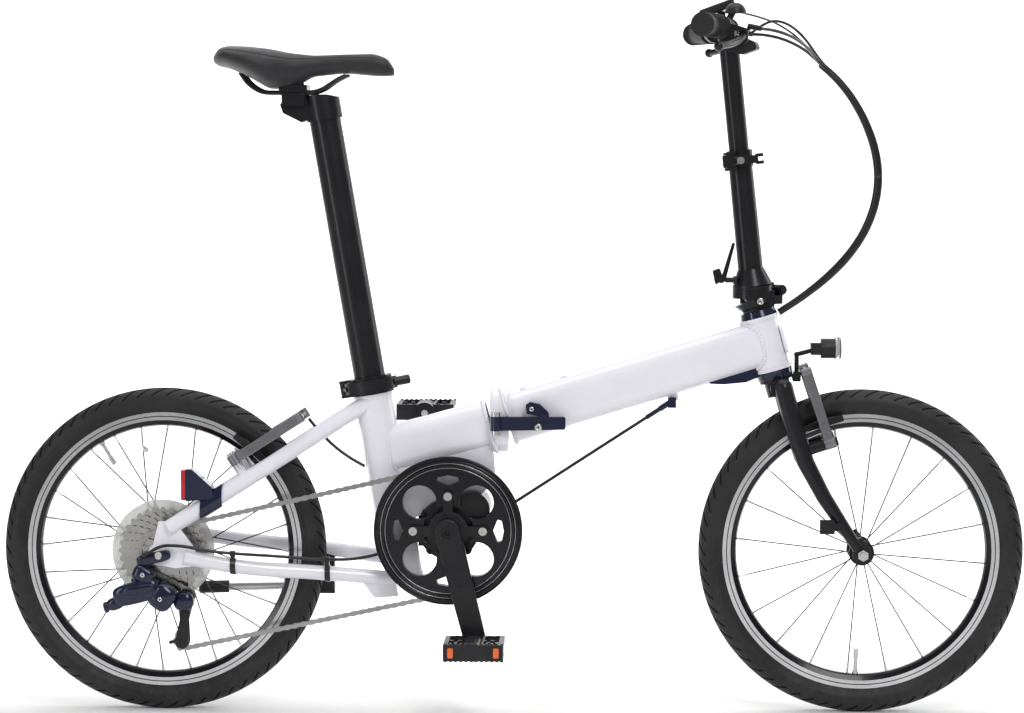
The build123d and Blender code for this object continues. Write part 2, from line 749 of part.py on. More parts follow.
def chain_stay_path(side):
    """Centre line of a chain stay, from its dropout to the motor casting; the left one lies higher."""
    rise = 0.0 if side < 0 else 26.0
    return bent_path([(-486, side * stay_foot_y, 238 + rise * 0.7), (-400, side * 60, 221 + rise),
                      (-290, side * 38, 212 + rise * 1.1), (-165, side * 15, 199 + rise)])


def seat_stay_path(side):
    """Centre line of a seat stay, from the seat tube to its dropout."""
    return bent_path([(-212, side * 17, 468), (-282, side * 30, 424), (-395, side * 50, 352),
                      (-510, side * stay_foot_y, 281)])


def rear_stays(seat_tube):
    """Chain stays with their dropouts, and seat stays with their brake bosses."""
    lower, upper = [], []
    for side in (-1, 1):
        drop = dropout(side)
        stay = drop + swept_tube(chain_stay_path(side), chain_stay_radius)
        if side < 0:
            stay += rounded_plate([(-232, 206), (-150, 200), (-150, 176), (-206, 172)], (-26, -8), 5.0)
        stay -= disc(rear_axle_x, wheel_radius, 34.0, sorted((side * 20.0, side * rear_hub_width / 2)))
        lower.append(stay - seat_tube)
        stay = swept_tube(seat_stay_path(side), seat_stay_radius) + brake_boss(rear_brake_pivot, rear_brake_top, side, 34.0)
        upper.append(stay - drop - seat_tube)
    bridge = rod((-262, -26, 436), (-262, 26, 436), 8.0)
    wide_post = seat_tube + rod(seat_point(-70), seat_point(seat_tube_length + 60), seat_radius)
    wide_post += rod(seat_point(seat_tube_length), seat_point(seat_tube_length + 40), 48.0)
    stays = upper[0].fuse(upper[1], bridge)
    save("rear_stays", stays - wide_post, *[stay - wide_post for stay in lower], kickstand())


def motor():
    """Motor case with its forward cap, and the two bearings of the crank spindle."""
    bearing_radius = 17.0
    case = motor_outline(0.0)
    for x, z in motor_lugs:
        case -= disc(x, z, 3.0, (-36, -30))
    for side in (-1, 1):
        case = case - disc(*motor_cap, motor_cap_radius - 3, sorted((side * 38.2, side * 41)))
    case -= disc(bb_x, bb_z, bearing_radius, (-60, 60))
    bearings = []
    for side in (-1, 1):
        faces = sorted((side * 14.0, side * (motor_half_width + 6)))
        bearings.append(ring(bb_x, bb_z, bearing_radius, spindle_diameter / 2 + running_gap, faces))
    save("motor_unit", case, *bearings)


def hinge_pin():
    """Pin of the frame hinge, with a head at each end."""
    low = main_tube_seam[2] + knuckle_levels[0][0]
    high = main_tube_seam[2] + knuckle_levels[2][1]
    place = (main_tube_seam[0], hinge_pin_y)
    pin = rod((*place, low - 0.3), (*place, high + 0.3), hinge_pin_diameter / 2)
    pin += rod((*place, low - 3), (*place, low - 0.3), 7.0)
    return pin + rod((*place, high + 0.3), (*place, high + 3), 7.0)


def rear_axle():
    """Rear axle with a nut outside each dropout and a spacer inside each one."""
    outside = rear_hub_width / 2 + 6.1
    axle = disc(rear_axle_x, wheel_radius, axle_radius, (-outside - 13, outside + 13))
    for side in (-1, 1):
        nut = Plane(origin=(rear_axle_x, side * outside, wheel_radius), z_dir=(0, side, 0))
        axle += extrude(nut * RegularPolygon(8.5, 6), 8.0)
        cone = sorted((side * (rear_hub_width / 2 - 0.1), side * (61.3 if side < 0 else 30.4)))
        axle += disc(rear_axle_x, wheel_radius, 8.0, cone)
    save("rear_axle", axle)


clamp_low = seat_tube_length + 0.1
clamp_high = seat_tube_length + 26.0
clamp_outer = 33.0
lever_outer = 40.5


def seat_clamp():
    """Ring round the seat post on top of the seat tube, and its quick lever."""
    ring_shape = pipe(seat_point(clamp_low), seat_point(clamp_high), clamp_outer, post_radius + 0.2)
    mid = (clamp_low + clamp_high) / 2
    ear = rod(seat_point(clamp_low, 0, 40), seat_point(clamp_high, 0, 40), 7.5)
    link = rod(seat_point(mid, 0, 26), seat_point(mid, 0, 40), 7.0)
    pin_radius = 3.0
    lever_low, lever_high = clamp_low + 4, clamp_high - 4
    cut = rod(seat_point(lever_low - 0.3, 0, 40), seat_point(lever_high + 0.3, 0, 40), 7.6)
    cut += pipe(seat_point(lever_low - 0.3), seat_point(lever_high + 0.3), 60.0, clamp_outer + 0.2)
    body = ring_shape + (ear + link) - cut
    body += rod(seat_point(clamp_low, 0, 40), seat_point(clamp_high, 0, 40), pin_radius)
    bridge = pipe(seat_point(clamp_low), seat_point(lever_low - 0.3), 47.5, clamp_outer - 1)
    bridge += pipe(seat_point(lever_high + 0.3), seat_point(clamp_high), 47.5, clamp_outer - 1)
    ear_zone = rod(seat_point(clamp_low, 0, 38), seat_point(clamp_high, 0, 38), 9.5)
    save("seat_clamp_ring", body + (bridge & ear_zone))
    band = pipe(seat_point(lever_low), seat_point(lever_high), lever_outer, clamp_outer + 1.2)
    centre = seat_point(mid)
    near_half = slab((centre[0] - 60, centre[0] + 60), (-60, -6), (centre[2] - 60, centre[2] + 60))
    arm = band & near_half
    eye = rod(seat_point(lever_low, 0, 40), seat_point(lever_high, 0, 40), 7.0)
    neck = rod(seat_point(mid, -20, 33), seat_point(mid, -2, 40), 4.6)
    tip = rod(seat_point(mid, -13, -35), seat_point(mid, -4, -58), 7.0)
    lever = arm + eye + tip + neck
    keep_out = rod(seat_point(clamp_low), seat_point(clamp_high), clamp_outer + 1.0)
    lever -= keep_out
    save("seat_lever", lever - rod(seat_point(clamp_low, 0, 40), seat_point(clamp_high, 0, 40), pin_radius + 0.1))


# ---------------------------------------------------------------- saddle and seat post

post_top = (seat_post_top_z - seat_tube_foot[2]) / seat_up[2]
rail_radius = 3.5
rail_y = 22.0
rail_level = 928.5
saddle_half_width = 76.0
cradle_x = (-342.0, -308.0)


def seat_post():
    """Seat post tube, closed at its foot, with the battery inside it."""
    wall = 2.2
    foot = post_top - seat_post_length
    tube = pipe(seat_point(foot), seat_point(post_top), post_radius, post_radius - wall)
    plug = rod(seat_point(foot), seat_point(foot + 8), post_radius - wall)
    battery = rod(seat_point(foot + 8.3), seat_point(post_top - 40), post_radius - wall - 0.3)
    save("seat_post", tube + plug, battery)


def post_head():
    """Cast head with a rear arm and the lower saddle cradle, and the upper clamp with its bolts."""
    base = post_top - 22
    head = rod(seat_point(base), seat_point(post_top + 22), post_radius + 3.5)
    head -= rod(seat_point(base - 1), seat_point(post_top), post_radius + running_gap)
    head &= plate([(-330, 880), (-250, 893), (-250, 921), (-276, 926), (-330, 926)], (-40, 40))
    arm = rounded_plate([(-346, 912), (-308, 926.5), (-275, 926.5), (-275, 900), (-313, 884), (-341, 898)],
                        (-18, 18), 3.0)
    arm -= rod(seat_point(base - 30), seat_point(post_top + 30), post_radius + 2)
    cradle = slab(cradle_x, (-29, 29), (909, rail_level - 0.6))
    rails = [rod((-400, side * rail_y, rail_level), (-250, side * rail_y, rail_level), rail_radius + 0.1)
             for side in (-1, 1)]
    body = head + arm + cradle
    bolt_x = (cradle_x[0] + 8, cradle_x[1] - 8)
    for x in bolt_x:
        body -= rod((x, 0, 900), (x, 0, 960), 3.0 + running_gap)
    clip = slab((-346, -304), (-29, 29), (rail_level + 0.6, 940))
    for rail in rails:
        body -= rail
        clip -= rail
    for x in bolt_x:
        clip -= rod((x, 0, 920), (x, 0, 960), 3.0 + running_gap)
    bolts = [rod((x, 0, 902), (x, 0, 941), 3.0) + rod((x, 0, 940.1), (x, 0, 945), 5.2) for x in bolt_x]
    save("post_head", body, clip, *bolts)


def saddle():
    """Saddle pad with a channel below for its rails, and the bent pair of rails."""
    side = plate([(-443, 983), (-436, 993), (-422, 998), (-380, 996), (-340, 989), (-297, 986), (-229, 988),
                  (-199, 986), (-184, 976), (-176, 960), (-180, 955), (-217, 953), (-256, 957), (-294, 954),
                  (-320, 945), (-354, 933), (-378, 948), (-400, 963), (-427, 967), (-441, 974)],
                 (-saddle_half_width, saddle_half_width))
    widths = [(-443, 42), (-438, 64), (-420, 75), (-392, 75), (-362, 66), (-330, 45), (-296, 29),
              (-250, 22), (-200, 19), (-182, 14), (-175, 6)]
    scale = saddle_half_width / 76.0
    outline = [(x, y * scale) for x, y in widths] + [(x, -y * scale) for x, y in reversed(widths)]
    plan = extrude(Plane(origin=(0, 0, 920)) * make_face(Polyline(*outline, close=True)), 90)
    pad = (side & plan) - slab((-450, -262), (-48, 48), (900, 959))
    save("saddle", pad)
    ends = []
    for sign in (-1, 1):
        y = sign * rail_y
        path = bent_path([(-404, y, 958.6), (-392, y, 941), (-372, y, rail_level), (-288, y, rail_level),
                          (-260, y * 0.6, 948), (-244, y * 0.35, 955.5)])
        ends.append(swept_tube(path, rail_radius))
    save("saddle_rails", *[end - slab((-450, -262), (-60, 60), (958.7, 990)) - side for end in ends])


# ---------------------------------------------------------------- what the rear triangle carries


def derailleur():
    """Rear derailleur: hanger arm, body, spring barrel and the two plates round the pulleys."""
    arm = rounded_plate([(-560, 228), (-552, 242), (-516, 253), (-495, 251), (-495, 240), (-520, 230)],
                        (-82.0, -73.7), 3.0)
    arm -= disc(rear_axle_x, wheel_radius, 10.5, (-90, -70))
    body = rounded_plate([(-596, 196), (-570, 230), (-546, 236), (-514, 226), (-494, 166), (-512, 150),
                          (-574, 152)], (-96.0, -77.0), 5.0)
    body -= rounded_plate([(-566, 200), (-530, 206), (-520, 176), (-560, 172)], (-99.0, -92.0), 4.0)
    barrel = rod((-600, -86, 166), (-570, -86, 172), 9.0) + rod((-606, -86, 165), (-600, -86, 166), 5.0)
    knuckle_piece = disc(-499, 167, 12.0, (-88.0, -62.0)) + disc(-499, 167, 9.0, (-62.0, -56.4))
    pivots = disc(-550, 228, 9.0, (-99.0, -76.0)) + disc(-505, 166, 7.0, (-98.0, -76.0))
    (ux, uz), (lx, lz) = upper_jockey, lower_jockey
    sides = []
    for faces in ((-58.4, -56.6), (-43.4, -41.6)):
        cage = plate([(ux - 10, uz + 3), (ux + 10, uz), (lx + 10, lz - 2), (lx - 10, lz + 2)], faces)
        cage += disc(ux, uz, 12.0, faces) + disc(lx, lz, 12.0, faces)
        cage -= plate([(ux - 4, uz - 15), (ux + 4, uz - 16), (lx + 4, lz + 15), (lx - 4, lz + 16)], faces)
        sides.append(cage)
    sides[0] += rounded_plate([(lx - 8, lz - 9), (lx - 38, lz - 9), (lx - 38, lz + 2), (lx - 8, lz + 8)],
                              (-58.4, -56.6), 3.0)
    sides[0] -= disc(-499, 167, 9.1, (-60, -50))
    cage = sides[0].fuse(sides[1], *[disc(x, z, 2.5, (-60.0, -40.0)) for x, z in (upper_jockey, lower_jockey)])
    save("rear_derailleur", arm + body + barrel + knuckle_piece + pivots, cage)


kickstand_pivot = (-285.0, 64.0, 180.0)


def kickstand():
    """Bracket on the left chain stay, and the folded prop with its rubber foot."""
    x, y, z = kickstand_pivot
    stay = swept_tube(chain_stay_path(1), chain_stay_radius + running_gap)
    bracket = slab((x - 15, x + 15), (28, 50), (z - 9, z + 62)) - stay
    bracket += rod((x, 49, z), (x, y + 9, z), 5.0) + rod((x, y + 9.3, z), (x, y + 12, z), 8.0)
    bracket += rod((x, y + 8, z), (x, y + 9.5, z), 5.0)
    end = (x - 196, y + 8, z - 6)
    prop = rod((x - 4, y, z), offset_point((x, y, z), Vector(end) - Vector((x, y, z)), 150), 7.0)
    prop += rod((x, y - 8.5, z), (x, y + 8.5, z), 10.5)
    prop -= rod((x, y - 20, z), (x, y + 20, z), 5.0 + running_gap)
    direction = Vector(end) - Vector((x, y, z))
    foot = rod(offset_point((x, y, z), direction, 150.1), end, 9.5)
    save("kickstand", prop, foot)
    return bracket


def rear_reflector():
    """Red reflector in a wedge housing that is clamped to the right seat stay."""
    stay = seat_stay_path(-1)
    grip = swept_tube(stay, seat_stay_radius + 3.0) & slab((-462, -430), (-90, -30), (290, 360))
    housing = rounded_plate([(-484, 322), (-484, 370), (-474, 370), (-444, 343), (-444, 326)], (-74, -46), 3.0)
    housing = (housing + grip) - swept_tube(stay, seat_stay_radius + running_gap)
    lens = slab((-490.5, -484.1), (-73, -47), (323, 369))
    save("rear_reflector", housing, fillet(lens.edges().filter_by(Axis.X), 4.0))


def rear_cables():
    """Shift housing above the right chain stay with its clips, and the rear brake housing."""
    shift = cord("rear_shift_cable", [(-545, -88, 240.5), (-520, -88, 258), (-488, -84, 257), (-448, -77, 248),
                                      (-405, -68, 243), (-350, -60, 239), (-290, -50, 233), (-238, -43, 232),
                                      (-196, -39.6, 240), (-160, -38.8, 256), (-134, -38.7, 270)], 2.4)
    brake = cord("rear_brake_cable", [(-306, 0, 440), (-290, 0, 420), (-268, 0, 398), (-244, 0, 380.5),
                                      (-221.6, 0, 368)], 2.4)
    clips = []
    stay = chain_stay_path(-1)
    for x, y, z, low in ((-414, -69.6, 243.7, 205), (-275, -47.6, 232.8, 190)):
        strap = swept_tube(stay, chain_stay_radius + 1.6) & slab((x - 4, x + 4), (-90, 0), (low, 260))
        strap += rod((x - 4, y, z), (x + 4, y, z), 4.4)
        strap += slab((x - 3, x + 3), (y - 1.5, y + 9), (z - 16, z))
        clips.append(strap - swept_tube(stay, chain_stay_radius + running_gap) - shift)
    save("rear_cables", shift, brake, *clips)


# ---------------------------------------------------------------- front half of the frame


def steer_point(height, side=0.0, forward=0.0):
    """Point on the steering axis at a height above the foot of the head tube."""
    point = Vector(head_tube_foot) + Vector(steer_up) * height
    return (point.X + forward * steer_up[2], side, point.Z - forward * steer_up[0])


steerer_radius = steerer_diameter / 2
head_radius = head_tube_diameter / 2
cup_radius = 19.0


def front_frame():
    """Front main tube with its hinge lug and head tube, and the bosses that it carries."""
    start = offset_point(main_tube_seam, (1, 0, 0.303), hinge_lug_thickness - 1)
    outer, inner = main_tube(start, main_tube_front, main_tube_height - 4)
    lug = hinge_lug((main_tube_seam[0] + 0.1, main_tube_seam[0] + hinge_lug_thickness))
    web = (main_tube_seam[0] + 0.1, main_tube_seam[0] + hinge_lug_thickness)
    frame = outer + lug
    for number in (0, 2):
        frame += knuckle(knuckle_levels[number], web)
    frame -= inner
    head = rod(steer_point(0), steer_point(head_tube_length), head_radius)
    for end in ((0, 5), (head_tube_length - 5, head_tube_length)):
        head += rod(steer_point(end[0]), steer_point(end[1]), head_radius + 2.0)
    frame += head
    middle = head_tube_length / 2
    frame += extrude(Plane(origin=steer_point(middle, 0, head_radius - 2), x_dir=(0, 1, 0),
                           z_dir=(steer_up[2], 0, -steer_up[0])) * RectangleRounded(34, 42, 6), 5.0)
    frame -= rod(steer_point(-5), steer_point(head_tube_length + 5), cup_radius)
    low, high = (main_tube_seam[2] + height for height in knuckle_levels[1])
    place = (main_tube_seam[0], hinge_pin_y)
    frame -= rod((*place, low - 0.3), (*place, high + 0.3), knuckle_radius + face_gap)
    for x, z in bottle_boss_places():
        normal = tube_normal()
        foot = offset_point((x, 0, z), normal, -5.0)
        top = offset_point((x, 0, z), normal, 2.5)
        frame += rod(foot, top, 5.5)
        frame -= rod(offset_point(foot, normal, -3), offset_point(top, normal, 1), 2.1)
    stop = cable_stop
    frame += rod(offset_point(stop, tube_normal(), 16), offset_point(stop, tube_normal(), -6), 6.5)
    save("front_frame", frame)


def tube_direction():
    """Unit direction of the front main tube, forwards and up."""
    start = offset_point(main_tube_seam, (1, 0, 0.303), hinge_lug_thickness - 1)
    return (Vector(main_tube_front) - Vector(start)).normalized()


def tube_normal():
    """Unit direction square to the top of the front main tube."""
    forward = tube_direction()
    return Vector(-forward.Z, 0, forward.X)


bottle_boss_spacing = 64.0
bottle_boss_start = 66.0    # from the front face of the hinge lug, along the tube
cable_stop = (243.0, 0.0, 474.0)


def bottle_boss_places():
    """Centres of the two threaded bosses, on the top face of the front main tube."""
    start = Vector(main_tube_seam) + Vector(1, 0, 0.303).normalized() * (hinge_lug_thickness - 1)
    length = (Vector(main_tube_front) - start).length
    for number in range(2):
        run = bottle_boss_start - number * bottle_boss_spacing + 32
        point = start + tube_direction() * run + tube_normal() * (main_tube_height / 2 - 2.0 * run / length)
        yield point.X, point.Z


def headset():
    """Two bearing cups in the head tube, with their coloured covers above and below it."""
    top = head_tube_length
    upper = rod(steer_point(top - 14), steer_point(top + 0.1), cup_radius - 0.1)
    upper += taper(steer_point(top + 0.1), steer_point(top + 10), head_radius + 2, head_radius)
    lower = rod(steer_point(-0.1), steer_point(14), cup_radius - 0.1)
    lower += taper(steer_point(-12), steer_point(-0.1), head_radius, head_radius + 2)
    bore = rod(steer_point(-30), steer_point(top + 30), steerer_radius + running_gap)
    save("headset_cups", upper - bore, lower - bore)


def cable_guide():
    """Coloured guide that leads the cables in under the head tube, with its clamp screw."""
    guide = rounded_plate([(292, 494.5), (300, 505), (372, 529), (372, 506), (350, 497), (318, 494)],
                          (-15, 15), 3.0)
    outer, _ = main_tube(offset_point(main_tube_seam, (1, 0, 0.303), hinge_lug_thickness - 1), main_tube_front,
                         main_tube_height - 4)
    guide -= outer
    guide -= rod(steer_point(-40), steer_point(60), head_radius + 2.2)
    for y in (-7.5, 7.5):
        guide -= rod((280, y, 487), (390, y, 512), 3.1)
    return max(guide.solids(), key=lambda solid: solid.volume)


def support_cable():
    """Tension cable from the front main tube to the motor, with its turnbuckle and fork end."""
    top = (240.0, 0.0, 467.6)
    low = (-36.0, 0.0, 288.2)
    line = Vector(low) - Vector(top)
    fork_end = rod(offset_point(top, line, 4), offset_point(top, line, 22), 4.5)
    fork_end += rod(offset_point(top, line, 22.1), offset_point(top, line, 46), 3.6)
    fork_end += slab((234, 246), (-9.5, -7.0), (458, 474)) + slab((234, 246), (7.0, 9.5), (458, 474))
    fork_end += rod((240, -9, 463), (240, 9, 463), 3.0)
    boss = rod(offset_point(cable_stop, tube_normal(), 16), offset_point(cable_stop, tube_normal(), -6), 6.55)
    save("front_frame_fittings", cable_guide(), lock_screw(), fork_end - boss)
    save("support_cable", rod(offset_point(top, line, 46.1), low, 2.5))


lever_level = (426.0, 447.0)
lever_y = (-46.0, -34.6)
latch_pivot = (-23.0, -43.0)
lock_pivot = (30.5, 459.0)


def frame_latch():
    """Long lever of the frame hinge with its eye, and the small lock above it."""
    eye_radius = 8.0
    x, y = latch_pivot
    lever = rounded_plate([(x, lever_level[0]), (81, lever_level[0] + 2), (81, lever_level[1]), (x, lever_level[1])],
                          lever_y, 3.0)
    lever += rod((x, y, lever_level[0]), (x, y, lever_level[1]), eye_radius)
    lever -= slab((-60, 90), (-34.6, 0), (400, 470))
    lever -= rod((x, y, 400), (x, y, 500), 3.0 + running_gap)
    save("frame_latch", lever)
    brackets = []
    for low, high in ((lever_level[0] - 6.3, lever_level[0] - 0.3), (lever_level[1] + 0.3, lever_level[1] + 6.3)):
        tab = rod((x, y, low), (x, y, high), 7.0) + slab((x - 7, x + 4.8), (y, -34.1), (low, high))
        brackets.append(tab)
    pin = rod((x, y, lever_level[0] - 6.3), (x, y, lever_level[1] + 6.3), 3.0)
    save("hinge_pins", hinge_pin(), brackets[0].fuse(brackets[1], pin))
    lx, lz = lock_pivot
    lock = rounded_plate([(lx - 7.5, lz - 7.5), (lx - 9, lz + 6), (lx - 2, lz + 10), (lx + 12, lz + 7), (lx + 24, lz - 4),
                          (lx + 27, lz - 11), (lx + 10, lz - 11)], (-43, -31.5), 2.2)
    lock += slab((lx + 12, lx + 26), (-49.5, -46.5), (440, lz - 6)) + slab((lx + 12, lx + 26), (-49.5, -42), (447.6, lz - 6))
    lock -= disc(lx, lz, 3.0 + running_gap, (-60, -20))
    save("latch_lock", lock)


def lock_screw():
    """Screw and washer that carry the small lock on the side of the front main tube."""
    x, z = lock_pivot
    screw = disc(x, z, 3.0, (-45, -27.0)) + disc(x, z, 4.5, (-45.5, -43.3))
    return screw + disc(x, z, 6.0, (-31.2, -26.1))


# ---------------------------------------------------------------- fork, brakes and headlight

fork_end_y = front_hub_width / 2
crown_top = -12.5           # on the steering axis, below the foot of the head tube


def fork():
    """Fork with its steerer, crown, two curved blades, dropouts and brake bosses."""
    steerer = pipe(steer_point(crown_top - 4), steer_point(head_tube_length + 34), steerer_radius, 11.5)
    crown = rod(steer_point(crown_top - 26), steer_point(crown_top), 19.0)
    crown += rod(steer_point(crown_top - 4), steer_point(crown_top), head_radius - 1)
    crown += rod(steer_point(crown_top - 14, -40), steer_point(crown_top - 14, 40), 13.0)
    body = steerer + crown
    for side in (-1, 1):
        places = [(405, 41, 490), (419, 44, 438), (438, 48, 380), (465, 52, 329), (494, 54.5, 285), (516, 56, 252)]
        radii = [14.0, 14.0, 13.0, 11.5, 9.5, 8.0]
        for number, (start, end) in enumerate(zip(places, places[1:])):
            first = (start[0], side * start[1], start[2])
            second = (end[0], side * end[1], end[2])
            body += taper(first, second, radii[number], radii[number + 1])
            body += Pos(*first) * Sphere(radii[number])
        faces = sorted((side * fork_end_y, side * (fork_end_y + 6.0)))
        body += disc(front_axle_x, wheel_radius, 15.0, faces)
        body += rounded_plate([(505, 262), (520, 270), (536, 250), (512, 234)], faces, 3.0)
        hub_room = sorted((side * 20.0, side * fork_end_y))
        body -= disc(front_axle_x, wheel_radius, 30.0, hub_room)
        body -= disc(front_axle_x, wheel_radius, axle_radius + running_gap, sorted((side * 40, side * 70)))
        body += brake_boss(front_brake_pivot, front_brake_top, side, 42.0)
    clip = slab((458, 480), (-70.5, -64.5), (276, 297)) + slab((466, 490), (-66, -56), (280, 292))
    save("fork", body + clip, lamp_bracket())
    outside = fork_end_y + 6.1
    axle = disc(front_axle_x, wheel_radius, axle_radius, (-outside - 11, outside + 11))
    for side in (-1, 1):
        nut = Plane(origin=(front_axle_x, side * outside, wheel_radius), z_dir=(0, side, 0))
        axle += extrude(nut * RegularPolygon(8.5, 6), 7.5)
        cone = sorted((side * (fork_end_y - 0.1), side * (fork_end_y - 5.6)))
        axle += disc(front_axle_x, wheel_radius, 8.0, cone)
    save("front_axle", axle)


def brake_arm(name, pivot, top, centre_x, side):
    """Brake arm with its shoe post, rubber shoe and the end of its cable."""
    axis = brake_axis(pivot, top)
    middle = (pivot[0], side * brake_boss_y, pivot[1])
    tip = (top[0], side * (brake_boss_y - 2), top[1])
    along_arm = Vector(tip) - Vector(middle)
    section = Plane(origin=middle, x_dir=(0, 1, 0), z_dir=along_arm)
    arm = extrude(section * RectangleRounded(9.0, 15.0, 2.0), along_arm.length)
    arm += rod(offset_point(middle, axis, -8.0), offset_point(middle, axis, 8.0), 8.5)
    arm += rod(offset_point(tip, axis, -7.5), offset_point(tip, axis, 7.5), 6.0)
    arm -= rod(offset_point(middle, axis, -20), offset_point(middle, axis, 20), brake_boss_radius + running_gap)
    track = rim_radius - 6.0
    hub_centre = Vector(centre_x, 0, wheel_radius)
    start, span = Vector(pivot[0], 0, pivot[1]), Vector(top[0] - pivot[0], 0, top[1] - pivot[1])
    share = 0.0
    while (start + span * share - hub_centre).length < track:
        share += 0.002
    seat = start + span * share
    radial = (seat - hub_centre).normalized()
    shoe_inner = rim_width / 2 + 1.6
    shoe_plane = Plane(origin=(seat.X, side * (shoe_inner + 4.5), seat.Z), x_dir=(0, side, 0), z_dir=radial)
    shoe = shoe_plane * Box(9.0, 62.0, 9.5)
    shoe = fillet(shoe.edges(), 1.5)
    post = rod((seat.X, side * (shoe_inner + 9.1), seat.Z), (seat.X, side * (brake_boss_y + 9), seat.Z), 3.0)
    post += rod((seat.X, side * (shoe_inner + 9.1), seat.Z), (seat.X, side * (shoe_inner + 14), seat.Z), 6.0)
    arm += post
    if side > 0:
        arm += rod((tip[0], tip[1] + 10, tip[2]), (tip[0], 13, tip[2]), 2.6)
    else:
        arm += rod((tip[0], tip[1] - 9, tip[2]), (tip[0], -12, tip[2]), 1.5)
        arm += rod((tip[0], -24, tip[2]), (tip[0], -12, tip[2]), 4.0)
    save(name, arm, shoe)


lamp_x = (455.0, 493.0)
lamp_z = 547.0


def lamp_bracket():
    """Bent bracket that carries the lamp in front of the fork crown."""
    bracket = rod((426, 0, 512), (426, 0, 538), 3.5) + rod((426, 0, 538), (452, 0, 545), 3.5)
    bracket += Pos(426, 0, 538) * Sphere(4.2) + disc(453, 545.5, 6.0, (-8.9, 8.9))
    bracket += slab((412, 432), (-9, 9), (498, 512.5))
    crown_zone = rod(steer_point(crown_top - 60), steer_point(crown_top), head_radius - 0.8)
    crown_zone += rod(steer_point(crown_top), steer_point(crown_top + 30), head_radius + 2.6)
    return bracket - crown_zone


def headlight():
    """Front lamp case, hung between two ears, and its lens."""
    case = rod((lamp_x[0] + 7, 0, lamp_z), (lamp_x[1] - 10, 0, lamp_z), 15.0)
    case += rod((lamp_x[1] - 10.1, 0, lamp_z), (lamp_x[1] - 2, 0, lamp_z), 17.0)
    case += slab((lamp_x[0] - 8, lamp_x[0] + 12), (-13.5, -9.2), (lamp_z - 9, lamp_z + 8))
    case += slab((lamp_x[0] - 8, lamp_x[0] + 12), (9.2, 13.5), (lamp_z - 9, lamp_z + 8))
    case -= rod((lamp_x[1] - 4, 0, lamp_z), (lamp_x[1], 0, lamp_z), 14.6)
    save("headlight", case, rod((lamp_x[1] - 3.9, 0, lamp_z), (lamp_x[1] - 0.5, 0, lamp_z), 14.4))


# ---------------------------------------------------------------- handlepost


def post_point(height, side=0.0, forward=0.0):
    """Point on the handlepost axis at a height above the folding joint."""
    point = Vector(post_foot) + Vector(post_up) * height
    return (point.X + forward * post_up[2], side, point.Z - forward * post_up[0])


fold_axis_at = (388.0, 30.0, 634.0)
fold_pin_radius = 4.0
fold_eye_radius = 8.0


def fold_point(run, height=0.0):
    """Point along the diagonal pin of the handlepost joint."""
    step = run / math.sqrt(2)
    return (fold_axis_at[0] + step, fold_axis_at[1] - step, fold_axis_at[2] + height)


def post_base():
    """Casting clamped on the steerer, with the eyes of the folding joint and its clamp bolt."""
    floor = (steer_point(head_tube_length + 10.2), steer_point(head_tube_length + 20))
    base = rod(floor[0], steer_point(head_tube_length + 26), 22.0)
    base += taper(steer_point(head_tube_length + 16), (359.5, 0, 622), 22.0, 30.0)
    base += rod((359.5, 0, 622), (359.5, 0, 633.8), 30.0)
    base += slab((372, 392), (-14, 14), (608, 633.8))
    base &= slab((300, 420), (-60, 60), (590, 633.8))
    for low, high in ((-24.0, -9.0), (9.0, 24.0)):
        eye = rod(fold_point(low), fold_point(high), fold_eye_radius)
        middle = fold_point((low + high) / 2)
        web = Plane(origin=(middle[0], middle[1], 620), x_dir=(1, -1, 0), z_dir=(0, 0, 1)) * Box(15.0, 42.0, 14.0)
        inward = Pos(-14.5, -14.5, 0) * web
        base += eye + (inward & slab((300, 420), (-60, 60), (612.5, 626)))
    base -= rod(steer_point(head_tube_length), steer_point(head_tube_length + 34.1), steerer_radius + running_gap)
    base -= rod(steer_point(head_tube_length - 12), steer_point(head_tube_length + 10.2), head_radius + 8)
    base -= rod(fold_point(-8.7), fold_point(8.7), fold_eye_radius + face_gap)
    base -= rod(fold_point(-40), fold_point(40), fold_pin_radius + running_gap)
    base += disc(370, 619, 6.5, (-33.5, -22)) - disc(370, 619, 3.5, (-34, -31))
    pin = rod(fold_point(-24.2), fold_point(24.2), fold_pin_radius)
    pin += rod(fold_point(-27), fold_point(-24.2), 6.5) + rod(fold_point(24.2), fold_point(27), 6.5)
    save("post_base", base, pin)


collar_pivot = (-19.5, -33.7)   # of the collar lever, back and sideways from the post axis


